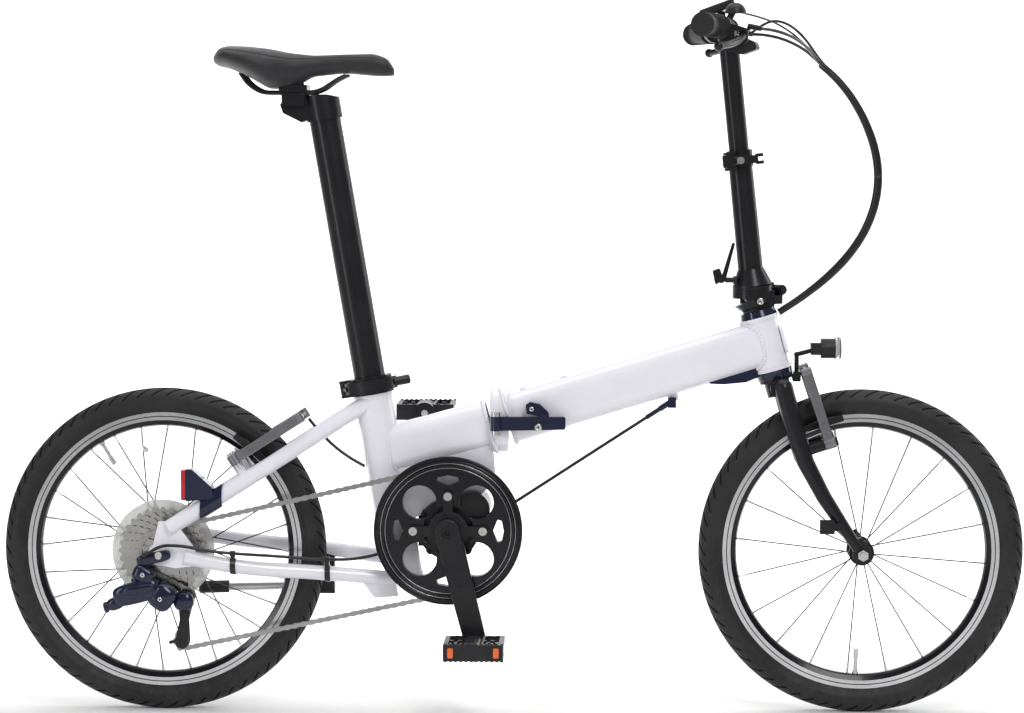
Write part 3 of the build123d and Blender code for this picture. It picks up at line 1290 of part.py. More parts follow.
def handlepost():
    """Outer tube of the handlepost on its flared foot, which folds on the diagonal pin."""
    outer = post_diameter / 2
    inner = inner_post_diameter / 2
    foot = rod((359.5, 0, 634.1), (359.5, 0, 642), 30.0)
    foot += taper((359.5, 0, 641.5), post_point(30), 30.0, outer + 1.0)
    tube = taper(post_point(10), post_point(post_length), outer, inner + 2.6)
    collar = rod(post_point(post_length - 22), post_point(post_length + 3), inner + 4.5)
    eye = rod(fold_point(-8.5), fold_point(8.5), fold_eye_radius)
    web = Plane(origin=(*fold_point(0)[:2], 640), x_dir=(1, -1, 0), z_dir=(0, 0, 1)) * Box(16.0, 34.0, 11.0)
    body = foot + tube + collar + eye + Pos(-13, -13, 0) * web
    for low, high in ((-25.0, -8.6), (8.6, 25.0)):
        body -= rod(fold_point(low), fold_point(high), fold_eye_radius + face_gap)
    body -= rod(fold_point(-40), fold_point(40), fold_pin_radius + running_gap)
    ear = slab((-9, 9), (-30, -14), (-9, 9))
    for low, high in ((-13.5, -9.3), (10.3, 13.5)):
        ear += slab((-25, -6), (-38, -14), (low, high))
    ear += rod((*collar_pivot, -13.5), (*collar_pivot, 13.5), 2.5)
    body += Pos(*post_point(post_length - 12)) * Rot(0, -post_lean, 0) * ear
    body -= rod(post_point(26), post_point(post_length + 5), inner + running_gap)
    stub = rod((330, -16, 650), (318, -16, 650), 4.0)
    body += stub + rod((336, -16, 650), (330, -16, 650), 6.0)
    save("handlepost", body)


def post_latch():
    """Hand lever along the rear of the handlepost foot, and the collar lever above."""
    x = 313.0
    wing = disc(x - 1.0, 652, 6.5, (-24, -8)) + rounded_plate(
        [(x - 9, 641), (x - 14, 664), (x - 3, 668), (x + 2, 654)], (-22, -10), 2.5)
    strip = rounded_plate([(x, 656), (x + 15.5, 706), (x + 20, 705), (x + 5, 646)], (-20, -12), 2.0)
    latch = wing + strip
    body_zone = taper((359.2, 0, 642), post_point(30), 31.0, post_diameter / 2 + 2) + rod(
        post_point(20), post_point(120), post_diameter / 2 + 0.6) + rod((359.5, 0, 630), (359.2, 0, 642.4), 31.0)
    latch -= body_zone
    latch -= rod((360, -16, 650), (300, -16, 650), 4.0 + running_gap)
    save("post_latch", max(latch.solids(), key=lambda solid: solid.volume))
    level = post_point(post_length - 12)
    frame = Pos(*level) * Rot(0, -post_lean, 0)
    block = rounded_plate([(-27, -9), (-27, 10), (-10, 10), (-10, -9)], (-37, -30.4), 2.5)
    strap = slab((-12, 26), (-34, -30.4), (-6, 6)) + slab((22, 34), (-34, -30.4), (3, 8)) + slab(
        (22, 34), (-34, -30.4), (-8, -3))
    lever = block + strap - rod((0, -60, 0), (0, 0, 0), 3.0 + running_gap)
    lever -= rod((*collar_pivot, -20), (*collar_pivot, 20), 2.5 + running_gap)
    stud = rod((0, -36, 0), (0, -30.6, 0), 3.0) + rod((0, -36.5, 0), (0, -34.2, 0), 5.5)
    save("collar_lever", frame * lever, frame * stud)


def inner_post():
    """Inner tube of the handlepost with the clamp that holds the handlebar."""
    inner = inner_post_diameter / 2
    top = bar_height - bar_diameter / 2 - 2
    tube = pipe(post_point(128), post_point(top), inner, inner - 2.2)
    centre = post_point(bar_height)
    hold = rod((centre[0], -19, centre[2]), (centre[0], 19, centre[2]), 17.0) + rod(post_point(top - 8), centre, inner)
    hold -= rod(post_point(top - 9), post_point(top - 8), inner - 2.3)
    hold -= rod((centre[0], -30, centre[2]), (centre[0], 30, centre[2]), 12.7 + running_gap)
    save("inner_post", tube + hold)


def bar_point(side, share):
    """Point on the swept handlebar, a share of the way from its clamp to one end."""
    centre = post_point(bar_height)
    straight = 70.0
    reach = bar_width / 2
    if share * reach <= straight:
        return (centre[0], side * share * reach, centre[2])
    run = (share * reach - straight) / (reach - straight)
    return (centre[0] - bar_sweep * run, side * share * reach, centre[2])


def handlebar():
    """Handlebar with its thick middle and swept ends, and the two grips."""
    ends = []
    for side in (-1, 1):
        tube = rod(bar_point(side, 0), bar_point(side, 0.25), bar_diameter / 2)
        tube += Pos(*bar_point(side, 0.25)) * Sphere(bar_diameter / 2)
        tube += rod(bar_point(side, 0.25), bar_point(side, 0.99), bar_diameter / 2)
        ends.append(tube)
    bar = ends[0] + ends[1] + rod(bar_point(-1, 0.10), bar_point(1, 0.10), 12.7)
    bar += taper(bar_point(-1, 0.10), bar_point(-1, 0.15), 12.7, bar_diameter / 2)
    bar += taper(bar_point(1, 0.10), bar_point(1, 0.15), 12.7, bar_diameter / 2)
    save("handlebar", bar)
    grips = []
    for side in (-1, 1):
        inside = 1 - grip_length / (bar_width / 2)
        grip = rod(bar_point(side, inside), bar_point(side, 1.0), grip_diameter / 2)
        grip += rod(bar_point(side, inside), bar_point(side, inside + 0.012), grip_diameter / 2 + 1.5)
        grip -= rod(bar_point(side, inside - 0.02), bar_point(side, 0.9905), bar_diameter / 2 + running_gap)
        grips.append(grip)
    save("grips", *grips)


def on_bar(side, share, shape):
    """Place a shape modelled about the origin at a point of the handlebar."""
    return Pos(*bar_point(side, share)) * shape


lever_pivot = (34.0, -6.0)  # forward of the bar, and the top of the lever's eye below its axis


def controls():
    """Brake lever brackets, shifter, display and bell, all clamped on the bar."""
    def hug(width, outer):
        return rod((0, -width / 2, 0), (0, width / 2, 0), outer)
    bore = rod((0, -60, 0), (0, 60, 0), bar_diameter / 2 + 0.3)
    brackets = []
    for side in (-1, 1):
        body = hug(15, 16.5) + rounded_plate([(6, -12), (6, 8), (44, -4), (44, -17), (26, -18)], (-9, 9), 3.0)
        body -= slab((22, 50), (-20, 20), (-30, -5.7))
        body += rod((lever_pivot[0], 0, -24), (lever_pivot[0], 0, -4), 2.5)
        body += rod((lever_pivot[0], 0, -24), (lever_pivot[0], 0, -21.3), 4.5)
        body += rod((40, 0, 1), (60, 0, -3), 4.0)
        body &= slab((-60, 80), (-40, 40), (-40, 40))
        tilt = Rot(0, 0, side * 11.8)
        brackets.append(on_bar(side, 0.50, tilt * (body - bore)))
    shifter = hug(12, 15.5) + rounded_plate([(2, -34), (-4, -14), (14, -8), (48, -22), (52, -32), (30, -40)],
                                            (-16, 14), 4.0)
    shifter -= bore
    shifter = Rot(0, 0, -11.8) * shifter
    shifter = on_bar(-1, 0.40, shifter)
    display = hug(11, 15.5) + slab((-13, -1), (-5.5, 5.5), (8, 29))
    case = Pos(-14, 0, 33) * Rot(0, -20, 0) * fillet(Box(54, 62, 12).edges(), 3.0)
    display = on_bar(1, 0.20, (display + case) - bore)
    bell = hug(9, 15.0) + rod((0, 0, 12), (6, 0, 24), 5.0)
    dome = Pos(10, 0, 22) * (Sphere(16.0) & Pos(0, 0, 10) * Box(40, 40, 20))
    save("bar_controls", *brackets, shifter, display, on_bar(-1, 0.21, (bell + dome) - bore))


def brake_lever(name, side):
    """Brake lever blade that swings towards the grip."""
    px, top = lever_pivot
    eye = rod((px, 0, -21), (px, 0, top), 7.0)
    run = [(px, side * 6, -14), (px - 1, side * 34, -21), (px - 9, side * 64, -27), (px - 20, side * 92, -30)]
    lever = eye + swept_tube(bent_path(run), 5.0) + Pos(*run[-1]) * Sphere(7.0)
    lever -= rod((px, 0, -30), (px, 0, 0), 2.5 + running_gap)
    save(name, on_bar(side, 0.50, Rot(0, 0, side * 11.8) * lever))


def post_cables():
    """Housings from the controls, and the sleeve that carries them down to the frame."""
    hoses = []
    for side in (-1, 1):
        route = [(376, side * 134, 1017), (398, side * 114, 1013), (418, side * 86, 1006),
                 (437, side * 54, 996), (449, side * 26, 987)]
        hoses.append(cord("brake_hose", route, 2.5))
    save("upper_cables", *hoses)
    sleeve = cord("cable_sleeve", [(462, 0, 968), (482, 0, 950), (505, 0, 922), (525, 0, 887), (540, 0, 846),
                                   (546, 0, 804), (541, 0, 762), (527, 0, 722), (503, 0, 686), (474, 0, 657),
                                   (447, 0, 640), (424, 0, 627)], 6.5)
    save("cable_sleeve", sleeve)


# ---------------------------------------------------------------- build every node

front_wheel()
rear_wheel()
chain()
cassette()
jockey("upper_jockey_wheel", upper_jockey)
jockey("lower_jockey_wheel", lower_jockey)
chainring_set()
cranks()
pedal("right_pedal", -1, right_pedal_at)
pedal("left_pedal", 1, left_pedal_at)
seat_tube_solid = rear_frame()
rear_stays(seat_tube_solid)
motor()
rear_axle()
seat_clamp()
seat_post()
post_head()
saddle()
derailleur()
rear_reflector()
rear_cables()
front_frame()
headset()
support_cable()
frame_latch()
fork()
for place, pivot_at, top_at, centre_at in (("rear", rear_brake_pivot, rear_brake_top, rear_axle_x),
                                           ("front", front_brake_pivot, front_brake_top, front_axle_x)):
    for hand, sign in (("right", -1), ("left", 1)):
        brake_arm(f"{place}_brake_arm_{hand}", pivot_at, top_at, centre_at, sign)
headlight()
post_base()
handlepost()
post_latch()
inner_post()
handlebar()
controls()
brake_lever("brake_lever_right", -1)
brake_lever("brake_lever_left", 1)
post_cables()
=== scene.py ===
"""Looks of an electric folding bicycle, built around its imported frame. Metres, +X forward, +Z up."""
import json
import math

import bpy
import numpy as np
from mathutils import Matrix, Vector
from mathutils.bvhtree import BVHTree


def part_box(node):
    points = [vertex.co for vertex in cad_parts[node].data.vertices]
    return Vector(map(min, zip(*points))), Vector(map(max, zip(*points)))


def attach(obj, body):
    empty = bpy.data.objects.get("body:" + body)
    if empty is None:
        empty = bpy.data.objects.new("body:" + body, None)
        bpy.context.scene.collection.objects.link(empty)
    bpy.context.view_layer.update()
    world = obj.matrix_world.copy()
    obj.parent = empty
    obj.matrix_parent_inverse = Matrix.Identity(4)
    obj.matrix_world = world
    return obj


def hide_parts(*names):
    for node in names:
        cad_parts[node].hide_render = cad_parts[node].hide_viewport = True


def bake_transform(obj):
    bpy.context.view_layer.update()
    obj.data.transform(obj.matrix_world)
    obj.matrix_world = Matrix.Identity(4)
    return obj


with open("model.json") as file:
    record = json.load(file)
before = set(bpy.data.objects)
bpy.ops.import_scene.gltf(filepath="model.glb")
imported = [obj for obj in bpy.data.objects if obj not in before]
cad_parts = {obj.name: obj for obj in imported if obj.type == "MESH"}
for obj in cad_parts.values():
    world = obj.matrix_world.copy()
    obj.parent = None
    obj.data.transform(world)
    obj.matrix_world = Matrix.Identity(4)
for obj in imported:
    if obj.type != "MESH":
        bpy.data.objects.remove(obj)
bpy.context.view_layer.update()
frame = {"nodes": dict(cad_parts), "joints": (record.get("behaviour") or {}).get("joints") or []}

# ---------------------------------------------------------------- places read from the frame

joints = {joint["name"]: joint for joint in frame["joints"]}


def pivot(name):
    """Point that a joint turns about."""
    return np.array(joints[name]["pos_m"])


def middle(node):
    """Centre of a node's box."""
    low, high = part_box(node)
    return np.array((low + high) / 2)


front_axle = pivot("front_wheel_spin")
rear_axle = pivot("rear_wheel_spin")
crank_axle = pivot("crank_spin")
tyre_low, tyre_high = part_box("front_tyre")
tyre_radius = (tyre_high.z - tyre_low.z) / 2
tyre_half_width = (tyre_high.y - tyre_low.y) / 2
rim_radius = (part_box("front_rim")[1].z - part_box("front_rim")[0].z) / 2

# ---------------------------------------------------------------- shader nodes


def add(tree, kind, settings=None, **inputs):
    """Shader node with its settings; each input is a value, or a socket that is joined to it."""
    made = tree.nodes.new("ShaderNode" + kind)
    for name, value in (settings or {}).items():
        setattr(made, name, value)
    for name, value in inputs.items():
        socket = made.inputs[int(name[2:])] if name.startswith("in") else made.inputs[name.replace("_", " ")]
        if isinstance(value, bpy.types.NodeSocket):
            tree.links.new(value, socket)
        else:
            socket.default_value = value
    return made


def maths(tree, operation, first, second=0.0, clamp=False):
    """Output of one Math node."""
    return add(tree, "Math", {"operation": operation, "use_clamp": clamp}, in0=first, in1=second).outputs[0]


def blend_colour(tree, share, first, second):
    """First colour where share is 0, second where it is 1."""
    made = add(tree, "Mix", {"data_type": "RGBA"}, in0=share, in6=first, in7=second)
    return made.outputs[2]


def between(tree, value, low, high, new_low=0.0, new_high=1.0):
    """Value carried from one range to another, and held there."""
    made = add(tree, "MapRange", Value=value, From_Min=low, From_Max=high, To_Min=new_low, To_Max=new_high)
    return made.outputs[0]


def group(name, inputs, outputs, fill):
    """Shader group: fill(tree, input sockets) returns what each output gets."""
    tree = bpy.data.node_groups.new(name, "ShaderNodeTree")
    kinds = {"value": "NodeSocketFloat", "colour": "NodeSocketColor"}
    for label, kind, value in inputs:
        tree.interface.new_socket(name=label, in_out="INPUT", socket_type=kinds[kind]).default_value = value
    for label, kind in outputs:
        tree.interface.new_socket(name=label, in_out="OUTPUT", socket_type=kinds[kind])
    entry = tree.nodes.new("NodeGroupInput")
    leave = tree.nodes.new("NodeGroupOutput")
    for label, result in fill(tree, entry.outputs).items():
        tree.links.new(result, leave.inputs[label])
    return tree


def place(tree):
    """Object coordinates, in metres."""
    return add(tree, "TexCoord").outputs["Object"]


def grain_body(tree, given):
    """Fine noise for the height, and a broad slow one that shifts the roughness."""
    fine = add(tree, "TexNoise", Vector=place(tree), Scale=given["Scale"], Detail=4.0, Roughness=0.6)
    broad = add(tree, "TexNoise", Vector=place(tree), Scale=23.0, Detail=3.0, Roughness=0.55)
    shift = maths(tree, "MULTIPLY", maths(tree, "SUBTRACT", broad.outputs[0], 0.5), given["Unevenness"])
    return {"Height": fine.outputs[0],
            "Roughness": maths(tree, "ADD", shift, given["Roughness"], clamp=True)}


def drift_body(tree, given):
    """Colour that wanders between two near shades in soft clouds."""
    cloud = add(tree, "TexNoise", Vector=place(tree), Scale=given["Scale"], Detail=5.0, Roughness=0.6)
    share = between(tree, cloud.outputs[0], 0.35, 0.65)
    return {"Colour": blend_colour(tree, share, given["Colour"], given["Second"])}


def dust_body(tree, given):
    """Pale road dust, thicker low down and on faces that look up, broken up by noise."""
    spot = add(tree, "SeparateXYZ", Vector=place(tree))
    facing = add(tree, "SeparateXYZ", Vector=add(tree, "NewGeometry").outputs["Normal"])
    speck = add(tree, "TexNoise", Vector=place(tree), Scale=90.0, Detail=8.0, Roughness=0.7)
    low = between(tree, spot.outputs["Z"], 0.5, 0.0)
    upward = between(tree, facing.outputs["Z"], 0.3, 1.0)
    cover = maths(tree, "ADD", low, upward)
    mask = maths(tree, "MULTIPLY", between(tree, speck.outputs[0], 0.45, 0.75), cover)
    mask = maths(tree, "MULTIPLY", mask, given["Amount"], clamp=True)
    return {"Colour": blend_colour(tree, mask, given["Colour"], (0.42, 0.40, 0.37, 1))}


def rings_body(tree, given):
    """Machining lines: noise that depends only on the distance from a wheel's axle."""
    spot = add(tree, "SeparateXYZ", Vector=place(tree))
    across = maths(tree, "SUBTRACT", spot.outputs["X"], given["Centre X"])
    up = maths(tree, "SUBTRACT", spot.outputs["Z"], given["Centre Z"])
    square = maths(tree, "ADD", maths(tree, "MULTIPLY", across, across), maths(tree, "MULTIPLY", up, up))
    radius = maths(tree, "SQRT", square)
    lines = add(tree, "TexNoise", {"noise_dimensions": "1D"}, W=radius, Scale=given["Scale"], Detail=3.0)
    off_line = maths(tree, "ABSOLUTE", maths(tree, "SUBTRACT", radius, given["Line"]))
    mask = between(tree, off_line, 0.0009, 0.0005)
    return {"Height": maths(tree, "SUBTRACT", lines.outputs[0], mask),
            "Colour": blend_colour(tree, mask, given["Colour"], (0.03, 0.03, 0.03, 1))}


def scuff_body(tree, given):
    """Thin bright rubs and scratches: stretched noise with only its peaks kept."""
    stretched = add(tree, "Mapping", Vector=place(tree), Scale=(1.0, 4.0, 9.0), Rotation=(0.3, 0.5, 0.2))
    rub = add(tree, "TexNoise", Vector=stretched.outputs[0], Scale=given["Scale"], Detail=8.0, Roughness=0.72)
    mask = maths(tree, "MULTIPLY", between(tree, rub.outputs[0], 0.66, 0.74), given["Amount"], clamp=True)
    return {"Colour": blend_colour(tree, mask, given["Colour"], given["Bare"]), "Mask": mask}


grain = group("fine_grain", [("Scale", "value", 900.0), ("Roughness", "value", 0.4),
                             ("Unevenness", "value", 0.2)],
              [("Height", "value"), ("Roughness", "value")], grain_body)
drift = group("colour_drift", [("Colour", "colour", (1, 1, 1, 1)), ("Second", "colour", (1, 1, 1, 1)),
                               ("Scale", "value", 14.0)], [("Colour", "colour")], drift_body)
dust = group("road_dust", [("Colour", "colour", (1, 1, 1, 1)), ("Amount", "value", 0.1)],
             [("Colour", "colour")], dust_body)
rings = group("turned_rings", [("Colour", "colour", (1, 1, 1, 1)), ("Centre X", "value", 0.0),
                               ("Centre Z", "value", 0.0), ("Scale", "value", 2500.0),
                               ("Line", "value", 0.0)],
              [("Height", "value"), ("Colour", "colour")], rings_body)
scuffs = group("scuffs", [("Colour", "colour", (1, 1, 1, 1)), ("Bare", "colour", (1, 1, 1, 1)),
                          ("Amount", "value", 0.2), ("Scale", "value", 60.0)],
               [("Colour", "colour"), ("Mask", "value")], scuff_body)


def put(tree, body, **inputs):
    """One of the groups above, placed in a material."""
    made = tree.nodes.new("ShaderNodeGroup")
    made.node_tree = body
    for name, value in inputs.items():
        socket = made.inputs[name.replace("_", " ")]
        if isinstance(value, bpy.types.NodeSocket):
            tree.links.new(value, socket)
        else:
            socket.default_value = value
    return made


def finish(name, colour, second, roughness, metallic=0.0, coat=0.0, grain_scale=900.0, depth=0.00002,
           uneven=0.15, dusty=0.02, worn=0.1, bare=(0.35, 0.35, 0.36), sheen=0.0, glass=0.0, ior=1.5,
           specular=0.3, turned_about=None, line=0.0):
    """Material with colour drift, scuffs, dust and grain; turned_about is the axle of machined rings."""
    made = bpy.data.materials.new(name)
    made.use_nodes = True
    tree = made.node_tree
    shader = tree.nodes["Principled BSDF"]
    shade = put(tree, drift, Colour=(*colour, 1), Second=(*second, 1)).outputs[0]
    shade = put(tree, scuffs, Colour=shade, Bare=(*bare, 1), Amount=worn).outputs[0]
    shade = put(tree, dust, Colour=shade, Amount=dusty).outputs[0]
    texture = put(tree, grain, Scale=grain_scale, Roughness=roughness, Unevenness=uneven)
    tree.links.new(texture.outputs["Roughness"], shader.inputs["Roughness"])
    height = texture.outputs["Height"]
    if turned_about is not None:
        lines = put(tree, rings, Colour=shade, Centre_X=turned_about[0], Centre_Z=turned_about[2], Line=line)
        height = maths(tree, "ADD", height, lines.outputs["Height"])
        shade = lines.outputs["Colour"]
    tree.links.new(shade, shader.inputs["Base Color"])
    bump = add(tree, "Bump", Height=height, Strength=0.5, Distance=depth)
    tree.links.new(bump.outputs[0], shader.inputs["Normal"])
    shader.inputs["Metallic"].default_value = metallic
    shader.inputs["Coat Weight"].default_value = coat
    shader.inputs["Coat Roughness"].default_value = 0.08
    shader.inputs["Sheen Weight"].default_value = sheen
    shader.inputs["Transmission Weight"].default_value = glass
    shader.inputs["IOR"].default_value = ior
    shader.inputs["Specular IOR Level"].default_value = specular
    made.diffuse_color = (*colour, 1)
    return made


white_paint = finish("white_paint", (0.80, 0.79, 0.86), (0.84, 0.83, 0.89), 0.24, coat=0.7, grain_scale=260.0,
                     depth=0.00003, uneven=0.06, dusty=0.02, worn=0.0)
satin_black = finish("satin_black_alloy", (0.009, 0.009, 0.011), (0.014, 0.014, 0.016), 0.30, coat=0.10,
                     grain_scale=1500.0, depth=0.00004, dusty=0.015, worn=0.04, specular=0.24)
gloss_black = finish("gloss_black_alloy", (0.003, 0.003, 0.006), (0.005, 0.005, 0.009), 0.20, coat=0.30,
                     dusty=0.008, worn=0.02, specular=0.2)
navy_gloss = finish("navy_gloss_alloy", (0.004, 0.008, 0.030), (0.008, 0.011, 0.040), 0.20, coat=0.45,
                    worn=0.04)
# Near-black rubber for the faces in the tyre's grooves: painted shade.
groove_painted_shade = finish("tyre_groove", (0.003, 0.003, 0.003), (0.005, 0.005, 0.005), 0.9, worn=0.0,
                      specular=0.1)
grey_alloy = finish("grey_alloy", (0.20, 0.20, 0.215), (0.26, 0.26, 0.275), 0.32, metallic=0.75, worn=0.2)
silver_alloy = finish("silver_alloy", (0.62, 0.62, 0.63), (0.70, 0.70, 0.71), 0.28, metallic=0.95, worn=0.1)
bright_steel = finish("bright_steel", (0.55, 0.54, 0.52), (0.66, 0.65, 0.63), 0.25, metallic=1.0, worn=0.2)
dark_steel = finish("dark_steel", (0.05, 0.05, 0.055), (0.08, 0.08, 0.085), 0.30, metallic=0.9, worn=0.1)
chain_steel = finish("chain_steel", (0.34, 0.33, 0.32), (0.46, 0.45, 0.44), 0.30, metallic=0.95, worn=0.3,
                     bare=(0.7, 0.7, 0.69), dusty=0.08)
cassette_steel = finish("cassette_steel", (0.36, 0.35, 0.33), (0.47, 0.46, 0.44), 0.22, metallic=0.95,
                        worn=0.3, bare=(0.8, 0.8, 0.79), dusty=0.05, turned_about=rear_axle)
tyre_rubber = finish("tyre_rubber", (0.014, 0.014, 0.015), (0.022, 0.022, 0.023), 0.52, grain_scale=1100.0,
                     depth=0.00012, uneven=0.25, dusty=0.04, worn=0.0, sheen=0.04)
soft_rubber = finish("soft_rubber", (0.012, 0.012, 0.013), (0.02, 0.02, 0.021), 0.62, grain_scale=1600.0,
                     depth=0.00008, worn=0.0)
leatherette = finish("leatherette", (0.014, 0.014, 0.016), (0.024, 0.024, 0.027), 0.50, grain_scale=800.0,
                     depth=0.00022, uneven=0.22, dusty=0.03, worn=0.0, sheen=0.15)
black_plastic = finish("black_plastic", (0.013, 0.013, 0.015), (0.02, 0.02, 0.022), 0.40, grain_scale=1300.0,
                       depth=0.00008, worn=0.04)
housing_skin = finish("cable_housing", (0.010, 0.010, 0.011), (0.016, 0.016, 0.018), 0.34, grain_scale=2000.0,
                      depth=0.00005, coat=0.2, worn=0.02)
orange_lens = finish("orange_reflector", (0.85, 0.16, 0.01), (0.70, 0.10, 0.01), 0.12, coat=0.8, worn=0.0)
red_lens = finish("red_reflector", (0.42, 0.004, 0.008), (0.60, 0.01, 0.012), 0.12, coat=0.9, worn=0.0)
clear_lens = finish("clear_lens", (0.86, 0.88, 0.90), (0.92, 0.93, 0.95), 0.08, coat=0.6, worn=0.0, glass=0.6)
clear_plastic = finish("clear_plastic", (0.60, 0.61, 0.58), (0.68, 0.69, 0.66), 0.22, worn=0.0,
                       glass=0.45, ior=1.3)
thread_black = finish("stitching", (0.03, 0.03, 0.034), (0.045, 0.045, 0.05), 0.7, grain_scale=2500.0,
                      worn=0.0)


def machined(name, axle):
    """Rim finish: turned brake track."""
    return finish(name, (0.58, 0.58, 0.59), (0.68, 0.68, 0.69), 0.24, metallic=0.95, depth=0.00006,
                  turned_about=axle, line=rim_radius - 0.0062, worn=0.05)


# ---------------------------------------------------------------- finishes of the CAD nodes


def wear(node, *materials):
    """Put materials on a CAD node; the first one covers it until paint() picks faces for another."""
    slots = frame["nodes"][node].data.materials
    slots.clear()
    for material in materials:
        slots.append(material)


def paint(node, number, chosen):
    """Give material number to the faces of a node whose centres chosen() picks, from their x, y and z."""
    mesh = frame["nodes"][node].data
    centres = np.empty(len(mesh.polygons) * 3)
    mesh.polygons.foreach_get("center", centres)
    index = np.zeros(len(mesh.polygons), np.int32)
    mesh.polygons.foreach_get("material_index", index)
    index[chosen(*centres.reshape(-1, 3).T)] = number
    mesh.polygons.foreach_set("material_index", index)


def from_axle(axle):
    """Function for the distance from an axle, in the plane of the wheels."""
    return lambda x, z: np.hypot(x - axle[0], z - axle[2])


for names, material in (
        (("rear_frame", "front_frame"), white_paint),
        (("motor_unit", "seat_clamp_ring", "seat_lever", "seat_post", "post_head", "rear_hub", "right_crank",
          "left_crank", "fork", "front_hub", "handlepost", "post_latch", "inner_post", "handlebar",
          "post_base", "saddle_rails"), satin_black),
        (("chainring_guards",), gloss_black),
        (("rear_derailleur", "frame_latch", "headset_cups", "front_frame_fittings", "latch_lock"),
         navy_gloss),
        (("hinge_pins", "rear_axle", "front_axle"), bright_steel),
        (("cassette",), cassette_steel),
        (("upper_jockey_wheel", "lower_jockey_wheel", "rear_reflector", "right_pedal", "left_pedal",
          "bar_controls", "headlight"), black_plastic),
        (("rear_cables", "support_cable"), housing_skin),
        (("grips",), soft_rubber),
        (("spoke_protector",), clear_plastic)):
    for name in names:
        wear(name, material)

for node, axle in (("front_rim", front_axle), ("rear_rim", rear_axle)):
    radius_of = from_axle(axle)
    wear(node, machined(node + "_track", axle), gloss_black, bright_steel)
    paint(node, 1, lambda x, y, z: radius_of(x, z) < rim_radius - 0.0125)
    paint(node, 2, lambda x, y, z: radius_of(x, z) < rim_radius - 0.0215)
for node, axle in (("front_spokes", front_axle), ("rear_spokes", rear_axle)):
    radius_of = from_axle(axle)
    wear(node, dark_steel, silver_alloy)
    paint(node, 1, lambda x, y, z: radius_of(x, z) > rim_radius - 0.034)
for node in ("rear_brake_arm_right", "rear_brake_arm_left", "front_brake_arm_right", "front_brake_arm_left"):
    axle = rear_axle if node.startswith("rear") else front_axle
    radius_of = from_axle(axle)
    wear(node, grey_alloy, soft_rubber)
    paint(node, 1, lambda x, y, z: (abs(y) < 0.0235) & (radius_of(x, z) < rim_radius + 0.002))
for node in ("brake_lever_right", "brake_lever_left"):
    wear(node, satin_black)
wear("crank_and_pedal_axles", bright_steel, satin_black)
paint("crank_and_pedal_axles", 1, lambda x, y, z: np.hypot(x - crank_axle[0], z - crank_axle[2]) < 0.02)
wear("collar_lever", satin_black, bright_steel)
collar_stud = pivot("collar_lever_swing") + 0.0195 * np.array([0.995, 0.0, 0.101])
radius_of_stud = from_axle(collar_stud)
paint("collar_lever", 1, lambda x, y, z: (radius_of_stud(x, z) < 0.0058) & (y < -0.034))
wear("kickstand", silver_alloy, soft_rubber)
foot_start = pivot("kickstand_swing")[0] - 0.150
paint("kickstand", 1, lambda x, y, z: x < foot_start)
for node in ("right_pedal", "left_pedal"):
    low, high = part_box(node)
    wear(node, black_plastic, orange_lens)
    paint(node, 1, lambda x, y, z: ((x < low.x + 0.0022) | (x > high.x - 0.0022)) & (
        abs(z - (low.z + high.z) / 2) < 0.008))
wear("rear_reflector", navy_gloss, red_lens)
lens_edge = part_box("rear_reflector")[0].x + 0.0065
paint("rear_reflector", 1, lambda x, y, z: x < lens_edge)
wear("headlight", black_plastic, clear_lens)
lamp_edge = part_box("headlight")[1].x - 0.004
lamp_middle = middle("headlight")
paint("headlight", 1, lambda x, y, z: (x > lamp_edge - 0.001) & (np.hypot(y, z - lamp_middle[2]) < 0.0146))
radius_of_crank = from_axle(crank_axle)
wear("chainring", chain_steel, bright_steel)
paint("chainring", 1, lambda x, y, z: (radius_of_crank(x, z) < 0.062) & (radius_of_crank(x, z) > 0.044))
wear("rear_stays", white_paint, satin_black, bright_steel)
radius_of_boss = from_axle(pivot("rear_brake_right_swing"))
paint("rear_stays", 2, lambda x, y, z: (radius_of_boss(x, z) < 0.016) & (abs(y) > 0.036))
stand = pivot("kickstand_swing")
paint("rear_stays", 1, lambda x, y, z: (abs(x - stand[0]) < 0.016) & (y > 0.027) & (z < 0.229))

# ---------------------------------------------------------------- surfaces worked out on grids


def mesh_piece(name, points, faces, body, material, smooth=True):
    """Mesh object from arrays of points and faces, riding on a body."""
    mesh = bpy.data.meshes.new(name)
    mesh.from_pydata(points.tolist(), [], [list(face) for face in faces])
    mesh.materials.append(material)
    mesh.polygons.foreach_set("use_smooth", np.full(len(mesh.polygons), smooth))
    mesh.update()
    piece = bpy.data.objects.new(name, mesh)
    bpy.context.scene.collection.objects.link(piece)
    if body:
        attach(piece, body)
    return piece


def grid_faces(rows, columns, close_rows=False, close_columns=False):
    """Quads of a grid of points numbered row by row, joined round where it closes."""
    row = np.arange(rows if close_rows else rows - 1)[:, None]
    column = np.arange(columns if close_columns else columns - 1)[None, :]
    after_row, after_column = (row + 1) % rows, (column + 1) % columns
    quads = [row * columns + column, row * columns + after_column,
             after_row * columns + after_column, after_row * columns + column]
    return np.stack([np.broadcast_to(q, (len(row), column.shape[1])) for q in quads], -1).reshape(-1, 4)


